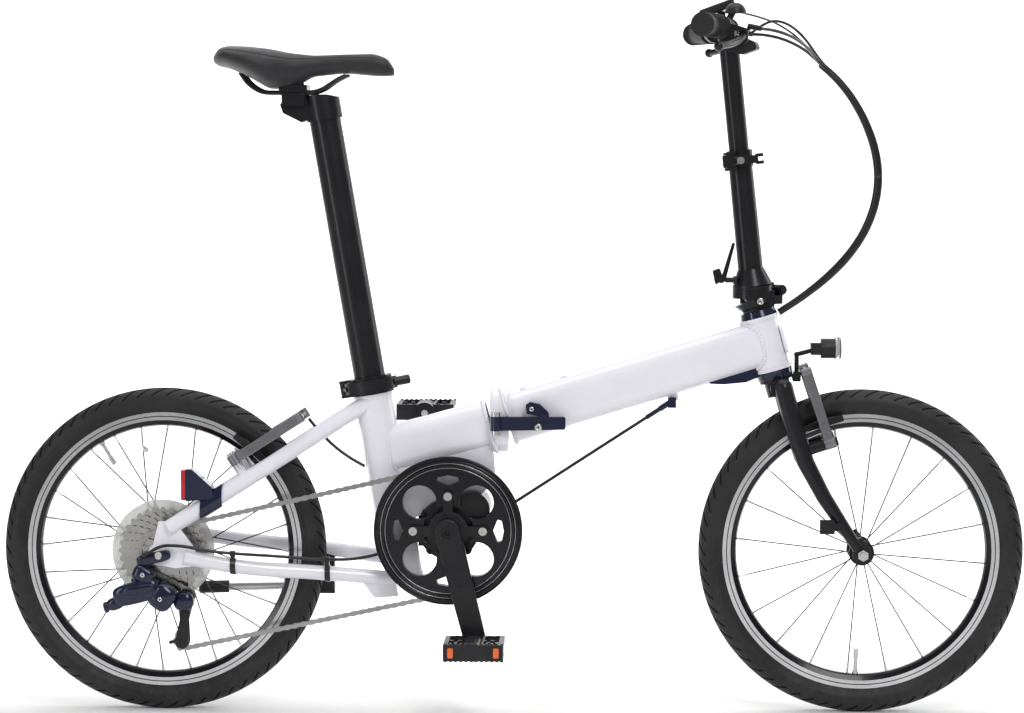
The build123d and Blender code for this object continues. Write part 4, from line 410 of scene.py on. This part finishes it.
def tyre(name, node, axle, body):
    """Tyre with diagonal sipes.

    Angle a goes round the wheel and t round the section, 0 at the crown. The section is a circle of the
    tyre's half width. A groove lowers it where the sawtooth of 66 a / 2 pi - 1.1 |t| is under its width,
    between 14 and 66 degrees of t, and two thin rings run beside the crown. The faces in the grooves get
    a near-black rubber, which is painted shade.
    """
    around, section = 1188, 64
    a = np.linspace(0, 2 * np.pi, around, endpoint=False)[:, None]
    t = np.linspace(-np.pi, np.pi, section, endpoint=False)[None, :]
    side = np.abs(np.degrees(t))
    turn = 66 * a / (2 * np.pi) - 1.1 * np.abs(t) + np.where(t > 0, 0.5, 0.0)
    sipe = ((turn % 1.0) < 0.12) & (side > 14) & (side < 66)
    ring_groove = (np.abs(side - 9) < 2.9) & (a > -1)
    depth = 0.0014 * sipe + 0.0006 * ring_groove
    half = tyre_half_width - depth
    radius = tyre_radius - tyre_half_width + half * np.cos(t)
    radius = np.maximum(radius, rim_radius - 0.004)
    width = half * np.sin(t)
    pinch = np.clip((tyre_radius - tyre_half_width + half * np.cos(t) - rim_radius) / 0.012, 0, 1)
    width = np.sign(width) * np.minimum(np.abs(width), 0.0122 + 0.0078 * pinch)
    points = np.stack([axle[0] + radius * np.cos(a), width + 0 * a, axle[2] + radius * np.sin(a)], -1)
    piece = mesh_piece(name, points.reshape(-1, 3), grid_faces(around, section, True, True)[:, ::-1], body,
                       tyre_rubber)
    # The groove faces take the darker rubber: painted shade in the grooves.
    piece.data.materials.append(groove_painted_shade)
    piece.data.polygons.foreach_set("material_index", (sipe | ring_groove).astype(np.int32).ravel())
    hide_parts(node)
    return piece


tyre("front_tyre_tread", "front_tyre", front_axle, "front_wheel")
tyre("rear_tyre_tread", "rear_tyre", rear_axle, "rear_wheel")


def tube_mesh(path, radius, sides=16, closed=False):
    """Points and faces of a tube round a path.

    At each station the ring is centre + r (cos a * across + sin a * over), where across is square to the
    path and to the bicycle's side direction, and over completes the frame. The radius may vary by station.
    """
    path = np.asarray(path, float)
    ahead = np.roll(path, -1, 0) - np.roll(path, 1, 0) if closed else np.gradient(path, axis=0)
    ahead /= np.linalg.norm(ahead, axis=1, keepdims=True)
    lean = np.where(np.abs(ahead[:, 1:2]) > 0.9, [[1.0, 0, 0]], [[0, 1.0, 0]])
    across = np.cross(ahead, lean)
    across /= np.linalg.norm(across, axis=1, keepdims=True)
    over = np.cross(across, ahead)
    a = np.linspace(0, 2 * np.pi, sides, endpoint=False)[None, :, None]
    r = np.broadcast_to(np.asarray(radius, float).reshape(-1, 1, 1), (len(path), 1, 1))
    points = path[:, None] + r * (np.cos(a) * across[:, None] + np.sin(a) * over[:, None])
    faces = [tuple(f) for f in grid_faces(len(path), sides, closed, True)]
    if not closed:
        faces += [tuple(range(sides))[::-1], tuple(range((len(path) - 1) * sides, len(path) * sides))]
    return points.reshape(-1, 3), faces


def joined(parts):
    """One mesh's points and faces from several."""
    points, faces, start = [], [], 0
    for some_points, some_faces in parts:
        points.append(some_points)
        faces += [tuple(int(i) + start for i in face) for face in some_faces]
        start += len(some_points)
    return np.concatenate(points), faces


# ---------------------------------------------------------------- weld beads


def ray_hits(node, starts, directions):
    """Where rays first meet a CAD node, for those that do."""
    mesh = frame["nodes"][node].data
    tree = BVHTree.FromPolygons([v.co for v in mesh.vertices], [p.vertices for p in mesh.polygons])
    hits = [tree.ray_cast(Vector(start), Vector(way)) for start, way in zip(starts, directions)]
    return np.array([hit[0] for hit in hits if hit[0] is not None])


def outline(node, centre, ahead, count=120, reach=0.08):
    """Section of a tube: rays from a circle round its axis, inwards, in the plane square to ahead."""
    ahead = np.asarray(ahead, float) / np.linalg.norm(ahead)
    side = np.array([0.0, 1.0, 0.0])
    over = np.cross(side, ahead)
    a = np.linspace(0, 2 * np.pi, count, endpoint=False)[:, None]
    outwards = np.cos(a) * side + np.sin(a) * over
    return ray_hits(node, centre + reach * outwards, -outwards)


def bead(name, path, body, width=0.0032):
    """Weld bead: a tube along a closed curve whose radius ripples once every 3.4 mm of its length.

    The curve's points are first averaged with their neighbours, because rays meet the flats of a faceted
    tube.
    """
    for _ in range(4):
        path = (np.roll(path, 1, 0) + 2 * path + np.roll(path, -1, 0)) / 4
    steps = np.linalg.norm(np.roll(path, -1, 0) - path, axis=1)
    place_along = np.concatenate([[0], np.cumsum(steps)])
    total = place_along[-1]
    ripples = round(total / 0.0034)
    stations = np.linspace(0, total, ripples * 6, endpoint=False)
    closed_path = np.concatenate([path, path[:1]])
    smooth = np.stack([np.interp(stations, place_along, closed_path[:, i]) for i in range(3)], -1)
    radius = width * (0.74 + 0.26 * np.abs(np.sin(np.pi * ripples * stations / total)))
    points, faces = tube_mesh(smooth, radius, 8, closed=True)
    return mesh_piece(name, points, faces, body, white_paint)


def round_seat_tube(section, ahead):
    """Curve where a tube meets the seat tube: each point p of its section moves along d to the cylinder.

    With q and e the parts of p and d square to the cylinder's axis, |q + s e| = r gives s.
    """
    foot = np.array([-0.1613, 0.0, 0.196])
    up = np.array([-math.sin(math.radians(9.7)), 0.0, math.cos(math.radians(9.7))])
    radius = 0.0287
    q = section - foot
    q = q - (q @ up)[:, None] * up
    e = ahead - (ahead @ up) * up
    half_b, a = q @ e, e @ e
    depth = half_b ** 2 - a * ((q ** 2).sum(1) - radius ** 2)
    met = depth > 0
    return section[met] + ((-half_b[met] - np.sqrt(depth[met])) / a)[:, None] * ahead


def junction(node, centre, ahead, stand_off=0.0009):
    """Curve where a tube runs into the next: rays along the tube from just outside its section."""
    ahead = np.asarray(ahead, float) / np.linalg.norm(ahead)
    ring = outline(node, centre, ahead)
    outwards = ring - centre
    outwards /= np.linalg.norm(outwards, axis=1, keepdims=True)
    return ray_hits(node, ring + stand_off * outwards, np.broadcast_to(ahead, ring.shape))


seam = np.array([pivot("frame_fold")[0], 0.0, pivot("frame_fold")[2]])
tube_ahead = np.array([0.957, 0.0, 0.290])
for name, node, body, way, gap in (("lug_weld_front", "front_frame", "front_frame", 1, 0.0155),
                                   ("lug_weld_rear", "rear_frame", "rear_frame", -1, 0.0165)):
    spot = seam + tube_ahead * way * gap
    bead(name, outline(node, spot, tube_ahead), body)
bead("head_tube_weld", junction("front_frame", seam + tube_ahead * 0.33, tube_ahead), "front_frame", 0.0034)
section = outline("rear_frame", seam - tube_ahead * 0.112, tube_ahead, reach=0.045)
bead("seat_tube_weld", round_seat_tube(section, -tube_ahead), "rear_frame", 0.0019)

# ---------------------------------------------------------------- chain


def chain_loop():
    """Evenly spaced centres of the chain's pins.

    Four circles carry the loop: chainring, sprocket, and the two pulleys, of which the upper turns the other
    way. A tangent between two circles leaves at the angle of their centre line plus asin((r1 - r2) / span),
    less a quarter turn.
    """
    upper, lower = pivot("upper_jockey_spin"), pivot("lower_jockey_spin")
    jockey = 0.01125
    circles = [(crank_axle[0], crank_axle[2], 0.094), (rear_axle[0], rear_axle[2], 0.0325),
               (upper[0], upper[2], -jockey), (lower[0], lower[2], jockey)]
    path = []
    turns = []
    for one, two in zip(circles, circles[1:] + circles[:1]):
        rise = math.atan2(two[1] - one[1], two[0] - one[0])
        turns.append(rise + math.asin((one[2] - two[2]) / math.hypot(two[0] - one[0], two[1] - one[1])))
    for number, (x, z, radius) in enumerate(circles):
        arriving, leaving = turns[number - 1] - math.pi / 2, turns[number] - math.pi / 2
        if radius < 0:
            arriving, leaving = arriving + math.pi, leaving + math.pi
            leaving = arriving - ((arriving - leaving) % (2 * math.pi))
        else:
            leaving = arriving + ((leaving - arriving) % (2 * math.pi))
        angle = np.linspace(arriving, leaving, 60)
        path.append(np.stack([x + abs(radius) * np.cos(angle), z + abs(radius) * np.sin(angle)], -1))
    path = np.concatenate(path + [path[0][:1]])
    along = np.concatenate([[0], np.cumsum(np.linalg.norm(np.diff(path, axis=0), axis=1))])
    count = 2 * round(along[-1] / 0.0127 / 2)
    stations = np.linspace(0, along[-1], count, endpoint=False)
    return np.stack([np.interp(stations, along, path[:, i]) for i in range(2)], -1)


def plate_outline(length, end_radius, waist, count=9):
    """Side plate of a link: two round ends joined by a waist that follows a cosine."""
    a = np.linspace(-0.62 * np.pi, 0.62 * np.pi, count)
    right = np.stack([length / 2 + end_radius * np.cos(a), end_radius * np.sin(a)], -1)
    left = -right
    return np.concatenate([right, [[0, waist]], left, [[0, -waist]]])


def chain():
    """Links of the chain: outer and inner pairs of plates in turn, with rollers and pin heads."""
    pins = chain_loop()
    after = np.roll(pins, -1, 0)
    centres = (pins + after) / 2
    way = (after - pins) / np.linalg.norm(after - pins, axis=1, keepdims=True)
    shape = plate_outline(np.linalg.norm(after - pins, axis=1).mean(), 0.0040, 0.0027)
    y_middle = middle("chain")[1]
    parts = []
    for number, (centre, ahead) in enumerate(zip(centres, way)):
        outer = 0.0033 if number % 2 else 0.0024
        square = np.array([-ahead[1], ahead[0]])
        flat = centre + shape[:, :1] * ahead + shape[:, 1:] * square
        for side in (-1, 1):
            near, far = y_middle + side * (outer - 0.0009), y_middle + side * outer
            ring = [np.stack([flat[:, 0], np.full(len(flat), y), flat[:, 1]], -1) for y in (near, far)]
            n = len(flat)
            faces = [(i, (i + 1) % n, (i + 1) % n + n, i + n)[::side] for i in range(n)]
            faces += [tuple(range(n))[::-side], tuple(range(n, 2 * n))[::side]]
            parts.append((np.concatenate(ring), faces))
    for pin in pins:
        path = [[pin[0], y_middle - 0.0035, pin[1]], [pin[0], y_middle + 0.0035, pin[1]]]
        parts.append(tube_mesh(path, 0.0019, 8))
    points, faces = joined(parts)
    piece = mesh_piece("chain_links", points, faces, "rear_frame", chain_steel, smooth=False)
    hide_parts("chain")


chain()

# ---------------------------------------------------------------- saddle


def curve_through(stations, knots, values):
    """Smooth curve through knots: linear steps rounded by a running mean."""
    fine = np.linspace(knots[0], knots[-1], 600)
    line = np.interp(fine, knots, values)
    pad = np.pad(line, 24, mode="reflect", reflect_type="odd")
    soft = np.convolve(pad, np.hanning(49) / np.hanning(49).sum(), mode="same")[24:-24]
    return np.interp(stations, fine, soft)


saddle_knots = np.array([-0.443, -0.437, -0.422, -0.392, -0.362, -0.330, -0.296, -0.250, -0.205, -0.184,
                         -0.176])
saddle_width = np.array([0.030, 0.058, 0.074, 0.0755, 0.066, 0.045, 0.030, 0.0225, 0.0205, 0.0175, 0.010])
saddle_top = np.array([0.984, 0.9945, 0.9985, 0.9975, 0.9945, 0.9885, 0.9850, 0.9868, 0.9865, 0.979, 0.964])
saddle_low = np.array([0.972, 0.967, 0.965, 0.952, 0.934, 0.9335, 0.9520, 0.9570, 0.9530, 0.9525, 0.954])


def saddle_surface(x, turn, swell=0.0):
    """Point of the saddle's skin at a station x and an angle round its section.

    The section is a rounded box: y is half width times a flattened cosine, and z goes from the edge height
    up to the top with a flattened sine, or down to the hem with a steeper one. A shallow channel runs along
    the middle of the top, and a sewn groove along each shoulder.
    """
    half = curve_through(x, saddle_knots, saddle_width)
    top = curve_through(x, saddle_knots, saddle_top)
    low = curve_through(x, saddle_knots, saddle_low)
    edge = low + 0.52 * (top - low)
    c, s = np.cos(turn), np.sin(turn)
    y = half * np.sign(c) * np.abs(c) ** 0.72
    up = np.where(s >= 0, (top - edge) * np.abs(s) ** 0.85, -(edge - low) * np.abs(s) ** 1.3)
    channel = 0.0022 * np.exp(-(y / 0.011) ** 2) * np.clip((-0.21 - x) / 0.06, 0, 1) * (s > 0)
    sewn = 0.0011 * np.exp(-((np.degrees(turn) - 33) / 2.6) ** 2)
    sewn = sewn + 0.0011 * np.exp(-((np.degrees(turn) - 147) / 2.6) ** 2)
    inwards = sewn - swell
    height = edge + up - channel - inwards * np.clip(s, 0, 1)
    return np.stack([x + 0 * turn, y * (1 - inwards / 0.045), height], -1)


def saddle():
    """Padded saddle with its stitched shoulder seams."""
    share = 0.5 - 0.5 * np.cos(np.linspace(0, np.pi, 110))
    x = (saddle_knots[0] + share * (saddle_knots[-1] - saddle_knots[0]))[:, None]
    turn = np.linspace(-np.pi, np.pi, 144, endpoint=False)[None, :]
    grid = saddle_surface(x, turn)
    rows, columns = grid.shape[:2]
    faces = [tuple(f) for f in grid_faces(rows, columns, False, True)[:, ::-1]]
    faces += [tuple(range(columns)), tuple(range((rows - 1) * columns, rows * columns))[::-1]]
    cover = mesh_piece("saddle_cover", grid.reshape(-1, 3), faces, "seat_post", leatherette)
    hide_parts("saddle")
    ball_turn = np.linspace(0, 2 * np.pi, 6, endpoint=False)
    parts = []
    for angle in (33, 147):
        spots = np.arange(-0.432, -0.196, 0.0042)[:, None]
        seam_line = saddle_surface(spots, np.radians([[angle]]), swell=0.0008)[:, 0]
        ahead = np.gradient(seam_line, axis=0)
        ahead /= np.linalg.norm(ahead, axis=1, keepdims=True)
        for spot, way in zip(seam_line, ahead):
            ends = np.linspace(-1, 1, 5)[:, None]
            path = spot + ends * way * 0.0014
            parts.append(tube_mesh(path, 0.00050 * np.sqrt(1.05 - ends[:, 0] ** 2), len(ball_turn)))
    points, faces = joined(parts)
    mesh_piece("saddle_stitches", points, faces, "seat_post", thread_black)


saddle()

# ---------------------------------------------------------------- cables


def spline_points(name, route):
    """Points along a NURBS spline of order 3 whose control points are the route's, in metres."""
    curve = bpy.data.curves.new(name, "CURVE")
    curve.dimensions = "3D"
    spline = curve.splines.new("NURBS")
    spline.points.add(len(route) - 1)
    for point, spot in zip(spline.points, route):
        point.co = (*spot, 1.0)
    spline.order_u = 3
    spline.use_endpoint_u = True
    curve.resolution_u = 10
    holder = bpy.data.objects.new(name, curve)
    bpy.context.scene.collection.objects.link(holder)
    bpy.context.view_layer.update()
    line = bpy.data.meshes.new_from_object(holder)
    points = np.empty(len(line.vertices) * 3)
    line.vertices.foreach_get("co", points)
    bpy.data.objects.remove(holder)
    bpy.data.meshes.remove(line)
    return points.reshape(-1, 3)


def cable(name, path, radius, body=None):
    """Round housing along a path, riding on the body when one is given."""
    points, faces = tube_mesh(path, radius, 14)
    return mesh_piece(name, points, faces, body, housing_skin)


def bar_cables():
    """Thin housings from the controls to the sleeve, and the sleeve in two pieces down to the head tube."""
    routes = []
    for side in (-1, 1):
        routes.append([(0.362, side * 0.153, 1.0190), (0.376, side * 0.134, 1.0185),
                       (0.398, side * 0.112, 1.014), (0.418, side * 0.084, 1.006),
                       (0.437, side * 0.050, 0.994), (0.449, side * 0.020, 0.982),
                       (0.462, side * 0.0034, 0.968), (0.474, side * 0.0030, 0.957)])
    routes.append([(0.352, -0.098, 1.014), (0.372, -0.090, 1.030), (0.394, -0.074, 1.033),
                   (0.416, -0.050, 1.024), (0.436, -0.026, 1.006), (0.451, -0.008, 0.986),
                   (0.463, 0.0, 0.971), (0.474, 0.0, 0.960)])
    routes.append([(0.318, -0.030, 1.052), (0.340, -0.030, 1.046), (0.366, -0.028, 1.040),
                   (0.394, -0.024, 1.030), (0.422, -0.016, 1.012), (0.445, -0.006, 0.989),
                   (0.460, 0.002, 0.972), (0.472, 0.002, 0.958)])
    names = ("brake_hose_right", "brake_hose_left", "shift_housing", "display_lead")
    thick = (0.0025, 0.0025, 0.0021, 0.0015)
    for name, route, radius in zip(names, routes, thick):
        piece = cable(name, spline_points(name, route), radius, "bar")
        if name == "brake_hose_right":
            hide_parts("upper_cables")
    route = [(0.458, 0, 0.971), (0.470, 0, 0.961), (0.486, 0, 0.946), (0.507, 0, 0.920), (0.526, 0, 0.886),
             (0.541, 0, 0.846), (0.547, 0, 0.804), (0.542, 0, 0.762), (0.527, 0, 0.722), (0.503, 0, 0.686),
             (0.474, 0, 0.656), (0.446, 0, 0.633), (0.421, 0, 0.615), (0.399, 0, 0.601)]
    path = spline_points("sleeve_route", route)
    share = np.linspace(0, 1, len(path))
    radius = 0.0052 + 0.0013 * np.clip(share / 0.35, 0, 1) - 0.0012 * np.clip((share - 0.75) / 0.25, 0, 1)
    radius[0] = 0.004
    half = int(np.argmin(np.abs(path[:, 2] - 0.804)))
    upper = cable("cable_sleeve_upper", path[:half + 1], radius[:half + 1])
    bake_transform(upper)
    lower = cable("cable_sleeve_lower", path[half:], radius[half:])
    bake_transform(lower)
    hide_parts("cable_sleeve")


bar_cables()

# ---------------------------------------------------------------- small detail pieces


def lump(centre, half, tilt=0.0, square=3.0, rows=14, columns=28):
    """Superellipsoid turned about Y.

    |x / a|^n + |y / b|^n + |z / c|^n = 1, swept by latitude u and longitude v with each sine and cosine
    raised to 2 / n, keeping its sign.
    """
    u = np.linspace(-np.pi / 2, np.pi / 2, rows)[:, None]
    v = np.linspace(0, 2 * np.pi, columns, endpoint=False)[None, :]

    def power(value):
        return np.sign(value) * np.abs(value) ** (2 / square)
    local = np.stack([half[0] * power(np.cos(u)) * power(np.cos(v)), half[1] * power(np.sin(u)) + 0 * v,
                      -half[2] * power(np.cos(u)) * power(np.sin(v))], -1).reshape(-1, 3)
    c, s = math.cos(math.radians(tilt)), math.sin(math.radians(tilt))
    turned = np.stack([local[:, 0] * c - local[:, 2] * s, local[:, 1], local[:, 0] * s + local[:, 2] * c], -1)
    return turned + np.asarray(centre), [tuple(f) for f in grid_faces(rows, columns, False, True)[:, ::-1]]


def turned_ring(axle, profile, count=144):
    """Ring turned about an axle along Y from a closed profile of (radius, y) points."""
    a = np.linspace(0, 2 * np.pi, count, endpoint=False)[:, None]
    radius, y = np.asarray(profile, float).T
    points = np.stack([axle[0] + radius * np.cos(a), y + 0 * a, axle[2] + radius * np.sin(a)], -1)
    return points.reshape(-1, 3), [tuple(f) for f in grid_faces(count, len(radius), True, True)]


def flat_plate(corners, y_low, y_high, ease=0.0006):
    """Plate with eased edges: its outline, shrunk towards its centre at both faces."""
    corners = np.asarray(corners, float)
    inner = corners + (corners.mean(0) - corners) / np.linalg.norm(corners - corners.mean(0), axis=1,
                                                                    keepdims=True) * ease
    layers = ((inner, y_low), (corners, y_low + ease), (corners, y_high - ease), (inner, y_high))
    points = np.concatenate([np.stack([c[:, 0], np.full(len(c), y), c[:, 1]], -1) for c, y in layers])
    n = len(corners)
    faces = [tuple(f) for f in grid_faces(4, n, False, True)]
    return points, faces + [tuple(range(n))[::-1], tuple(range(3 * n, 4 * n))]


def guard_trim():
    """Ridges on the outer chain guard, with two thin bright steel rings that are painted highlights."""
    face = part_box("chainring_guards")[0].y
    steps = ((0.0955, 0.0995), (0.1020, 0.1060), (0.1078, 0.1108))
    ridges = [turned_ring(crank_axle, [(low, face - 0.00002), (low + 0.0006, face - 0.0011),
                                       (high - 0.0006, face - 0.0011), (high, face - 0.00002)])
              for low, high in steps]
    points, faces = joined(ridges)
    mesh_piece("guard_ridges", points, faces, "crank", gloss_black)
    # Two thin bright steel rings on the guard's face: painted highlights, not a lit reflection.
    lines = [turned_ring(crank_axle, [(r, face - 0.00002), (r + 0.0002, face - 0.0007),
                                      (r + 0.0007, face - 0.0007),
                                      (r + 0.0009, face - 0.00002)]) for r in (0.0935, 0.1003)]
    points, faces = joined(lines)
    mesh_piece("guard_highlight_rings", points, faces, "crank", bright_steel)


def pedal_trim(node, body, side):
    """Serrated teeth along the top and bottom edges of a pedal, and its two reflectors on the outer end."""
    low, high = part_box(node)
    centre_z = (low.z + high.z) / 2
    end = low.y if side < 0 else high.y
    lens = [lump((x, end + side * 0.0002, centre_z), (0.0042, 0.0016, 0.0075), square=6.0)
            for x in (low.x + 0.011, high.x - 0.011)]
    points, faces = joined(lens)
    mesh_piece(body + "_end_reflectors", points, faces, body, orange_lens)
    teeth = []
    for x in np.arange(low.x + 0.004, high.x - 0.002, 0.0075):
        for z in (low.z + 0.0004, high.z - 0.0004):
            teeth.append(lump((x, end - side * 0.006, z), (0.0022, 0.0045, 0.0019), square=4.0, rows=6,
                              columns=8))
    points, faces = joined(teeth)
    mesh_piece(body + "_teeth", points, faces, body, dark_steel)


def derailleur():
    """Rear derailleur of rounded castings on a hanger link, with a cage of two plates."""
    spot = {"hanger": (-0.5235, 0.243), "knuckle": (-0.546, 0.213), "body": (-0.556, 0.187),
            "nose": (-0.588, 0.170), "drive": (-0.518, 0.180), "shoulder": (-0.500, 0.200)}
    upper, lower = pivot("upper_jockey_spin"), pivot("lower_jockey_spin")
    castings = [
        lump((*spot["knuckle"][:1], -0.080, spot["knuckle"][1]), (0.017, 0.013, 0.013), -25, 3.2),
        lump((*spot["body"][:1], -0.083, spot["body"][1]), (0.036, 0.013, 0.0165), 14, 3.6),
        lump((spot["body"][0] + 0.004, -0.0945, spot["body"][1] + 0.006), (0.024, 0.004, 0.006), 10, 3.0),
        lump((*spot["nose"][:1], -0.080, spot["nose"][1]), (0.014, 0.010, 0.010), 20, 2.6),
        lump((-0.602, -0.080, 0.164), (0.0045, 0.006, 0.0085), 15, 2.6),
        lump((*spot["drive"][:1], -0.078, spot["drive"][1]), (0.019, 0.016, 0.021), -35, 3.0),
        lump((upper[0] - 0.002, -0.068, upper[2] - 0.004), (0.0155, 0.011, 0.0150), 0, 2.4),
        lump((-0.531, -0.080, 0.238), (0.026, 0.005, 0.0085), 14, 4.0),
    ]
    points, faces = joined(castings)
    body = mesh_piece("derailleur_castings", points, faces, "rear_frame", navy_gloss)
    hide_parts("rear_derailleur")
    cage = []
    for y in (-0.0590, -0.0420):
        way = math.atan2(lower[2] - upper[2], lower[0] - upper[0])
        a = np.linspace(-0.5 * np.pi, 0.5 * np.pi, 9)
        tip = np.stack([lower[0] + 0.0105 * np.cos(a + way), lower[2] + 0.0105 * np.sin(a + way)], -1)
        root = np.stack([upper[0] - 0.0125 * np.cos(a + way), upper[2] - 0.0125 * np.sin(a + way)], -1)
        waist = (upper[[0, 2]] + lower[[0, 2]]) / 2
        square = np.array([-math.sin(way), math.cos(way)])
        corners = np.concatenate([tip, [waist + 0.0062 * square], root, [waist - 0.0062 * square]])
        cage.append(flat_plate(corners[::-1], y - 0.0009, y + 0.0009))
    cage.append(tube_mesh([[upper[0], -0.0600, upper[2]], [upper[0], -0.0405, upper[2]]], 0.0024, 12))
    cage.append(tube_mesh([[lower[0], -0.0620, lower[2]], [lower[0], -0.0405, lower[2]]], 0.0024, 12))
    cage.append(tube_mesh([[lower[0] - 0.004, -0.059, lower[2] + 0.003],
                           [lower[0] - 0.019, -0.058, lower[2] - 0.001]],
                          0.0026, 10))
    points, faces = joined(cage)
    mesh_piece("derailleur_cage", points, faces, "rear_frame", black_plastic, smooth=False)
    screws = [turned_ring((x, 0, z), [(0.0004, y), (r, y), (r, y - 0.0016), (0.0014, y - 0.0016),
                                      (0.0012, y - 0.0006), (0.0004, y - 0.0006)], 24)
              for x, z, y, r in ((-0.5235, 0.2405, -0.0845, 0.0046), (-0.546, 0.214, -0.0925, 0.0036),
                                 (-0.520, 0.178, -0.0935, 0.0034), (-0.582, 0.176, -0.0890, 0.0022))]
    points, faces = joined(screws)
    mesh_piece("derailleur_screws", points, faces, "rear_frame", bright_steel)


def studs():
    """Round bright heads: on the latch lever, its lock and the post base."""
    rows = []
    for name, body, x, z, y, r in (
            ("latch_stud", "frame_latch", 0.0405, 0.4320, -0.0510, 0.0052),
            ("lock_screw_head", "latch_lock", 0.0305, 0.4590, -0.0495, 0.0036),
            ("base_bolt_head", "fork", 0.3700, 0.6190, -0.0335, 0.0050)):
        profile = [(0.0004, y), (r, y), (r, y - 0.0008), (r - 0.0005, y - 0.0013), (r * 0.45, y - 0.0013),
                   (r * 0.40, y - 0.0004), (0.0004, y - 0.0004)]
        points, faces = turned_ring((x, 0, z), profile, 32)
        rows.append(mesh_piece(name, points, faces, body, bright_steel))
    return rows


def lamp_lens():
    """Clear bowl over the front of the lamp: a ring that rounds in to a shallow dome."""
    low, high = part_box("headlight")
    t = np.linspace(0, np.pi / 2, 9)
    radius = np.concatenate([[0.0172, 0.0172], 0.0172 - 0.003 * (1 - np.cos(t)), [0.010, 0.0008]])
    x = np.concatenate([[high.x - 0.009, high.x - 0.004], high.x - 0.004 + 0.003 * np.sin(t),
                        [high.x - 0.0004, high.x - 0.0001]])
    a = np.linspace(0, 2 * np.pi, 48, endpoint=False)[:, None]
    centre_z = (low.z + high.z) / 2
    points = np.stack([x + 0 * a, radius * np.cos(a), centre_z + radius * np.sin(a)], -1)
    mesh_piece("headlight_bowl", points.reshape(-1, 3), grid_faces(48, len(x), True, False), "headlight",
               clear_lens)


def spoke_magnet():
    """Small round magnet clamped on a rear spoke."""
    points, faces = lump((-0.5505, -0.017, 0.3945), (0.0046, 0.0030, 0.0046), 0, 2.4)
    mesh_piece("spoke_magnet", points, faces, "rear_wheel", silver_alloy)


def grip_ribs(side):
    """Raised rings of a rubber grip, square to the bar."""
    low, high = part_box("grips")
    y_end = high.y * side
    ends = np.array([[0.2747, y_end - side * 0.004, 1.022], [0.3045, y_end - side * 0.118, 1.022]])
    rings_made = []
    for share in np.linspace(0.06, 0.94, 15):
        centre = ends[0] + share * (ends[1] - ends[0])
        ahead = (ends[1] - ends[0]) / np.linalg.norm(ends[1] - ends[0])
        over = np.cross(ahead, [0, 0, 1.0])
        a = np.linspace(0, 2 * np.pi, 36, endpoint=False)[:, None]
        path = centre + 0.0166 * (np.cos(a) * over + np.sin(a) * np.array([0, 0, 1.0]))
        rings_made.append(tube_mesh(path, 0.0008, 6, closed=True))
    points, faces = joined(rings_made)
    name = "grip_ribs_" + ("left" if side > 0 else "right")
    mesh_piece(name, points, faces, "bar", soft_rubber)


guard_trim()
pedal_trim("right_pedal", "right_pedal", -1)
pedal_trim("left_pedal", "left_pedal", 1)
derailleur()
studs()
lamp_lens()
spoke_magnet()
grip_ribs(-1)
grip_ribs(1)

# ---------------------------------------------------------------- camera, light and floor

scene = bpy.context.scene


def stage():
    """Pale floor that rises behind the bicycle, soft lights, and the camera at the right side.

    The floor is clear from behind and the world is white to the camera, so views from all round are open.
    """
    rise = [(-12.0, 0.0), (2.2, 0.0), (3.2, 0.12), (4.0, 0.6), (4.4, 1.6), (4.5, 6.0)]
    across = np.linspace(-12, 12, 3)
    points = np.array([[x, y, z] for y, z in rise for x in across])
    floor = mesh_piece("floor", points, grid_faces(len(rise), 3), None, floor_paint)
    tree = floor_paint.node_tree
    shader = tree.nodes["Principled BSDF"].outputs[0]
    behind = add(tree, "NewGeometry").outputs["Backfacing"]
    seen_through = add(tree, "MixShader", in0=behind, in1=shader, in2=add(tree, "BsdfTransparent").outputs[0])
    tree.links.new(seen_through.outputs[0], tree.nodes["Material Output"].inputs["Surface"])
    for name, spot, size, power in (("key", (1.2, -2.8, 3.0), (1.2, 2.4), 66.0),
                                    ("strip", (-2.6, -2.4, 1.2), (0.5, 2.4), 22.0),
                                    ("top", (0.0, 0.2, 3.4), (3.4, 2.2), 60.0),
                                    ("rear_strip", (2.4, 1.2, 1.4), (0.6, 2.2), 16.0)):
        lamp = bpy.data.lights.new(name, "AREA")
        lamp.shape = "RECTANGLE"
        lamp.energy, lamp.size, lamp.size_y = power, *size
        lit = bpy.data.objects.new(name, lamp)
        lit.location = spot
        lit.visible_camera = False
        lit.rotation_euler = (Vector((0, 0, 0.5)) - Vector(spot)).to_track_quat("-Z", "Y").to_euler()
        scene.collection.objects.link(lit)
    glow = bpy.data.lights.new("backdrop", "AREA")
    glow.energy, glow.size = 205.0, 4.5
    wash = bpy.data.objects.new("backdrop", glow)
    wash.location = (0.0, 1.6, 2.8)
    wash.visible_camera = False
    wash.rotation_euler = (Vector((0, 4.4, 1.0)) - wash.location).to_track_quat("-Z", "Y").to_euler()
    scene.collection.objects.link(wash)
    world = bpy.data.worlds.new("studio")
    world.use_nodes = True
    tree = world.node_tree
    background = tree.nodes["Background"]
    background.inputs["Color"].default_value = (1.0, 1.0, 1.0, 1)
    seen = add(tree, "LightPath").outputs["Is Camera Ray"]
    tree.links.new(between(tree, seen, 0.0, 1.0, 0.25, 1.0), background.inputs["Strength"])
    scene.world = world
    camera = bpy.data.objects.new("camera", bpy.data.cameras.new("camera"))
    camera.location = (0.15, -5.0, 0.88)
    aim = Vector((0, 0, 0.534))
    camera.rotation_euler = (aim - camera.location).to_track_quat("-Z", "Y").to_euler()
    camera.data.lens = 36.0 * (aim - camera.location).length / 1.536
    camera.data.clip_end = 60
    scene.collection.objects.link(camera)
    scene.camera = camera
    scene.view_settings.view_transform = "Standard"


floor_paint = finish("floor_paint", (0.86, 0.86, 0.86), (0.88, 0.88, 0.88), 0.7, dusty=0.0, worn=0.0,
                     depth=0.00001)
stage()
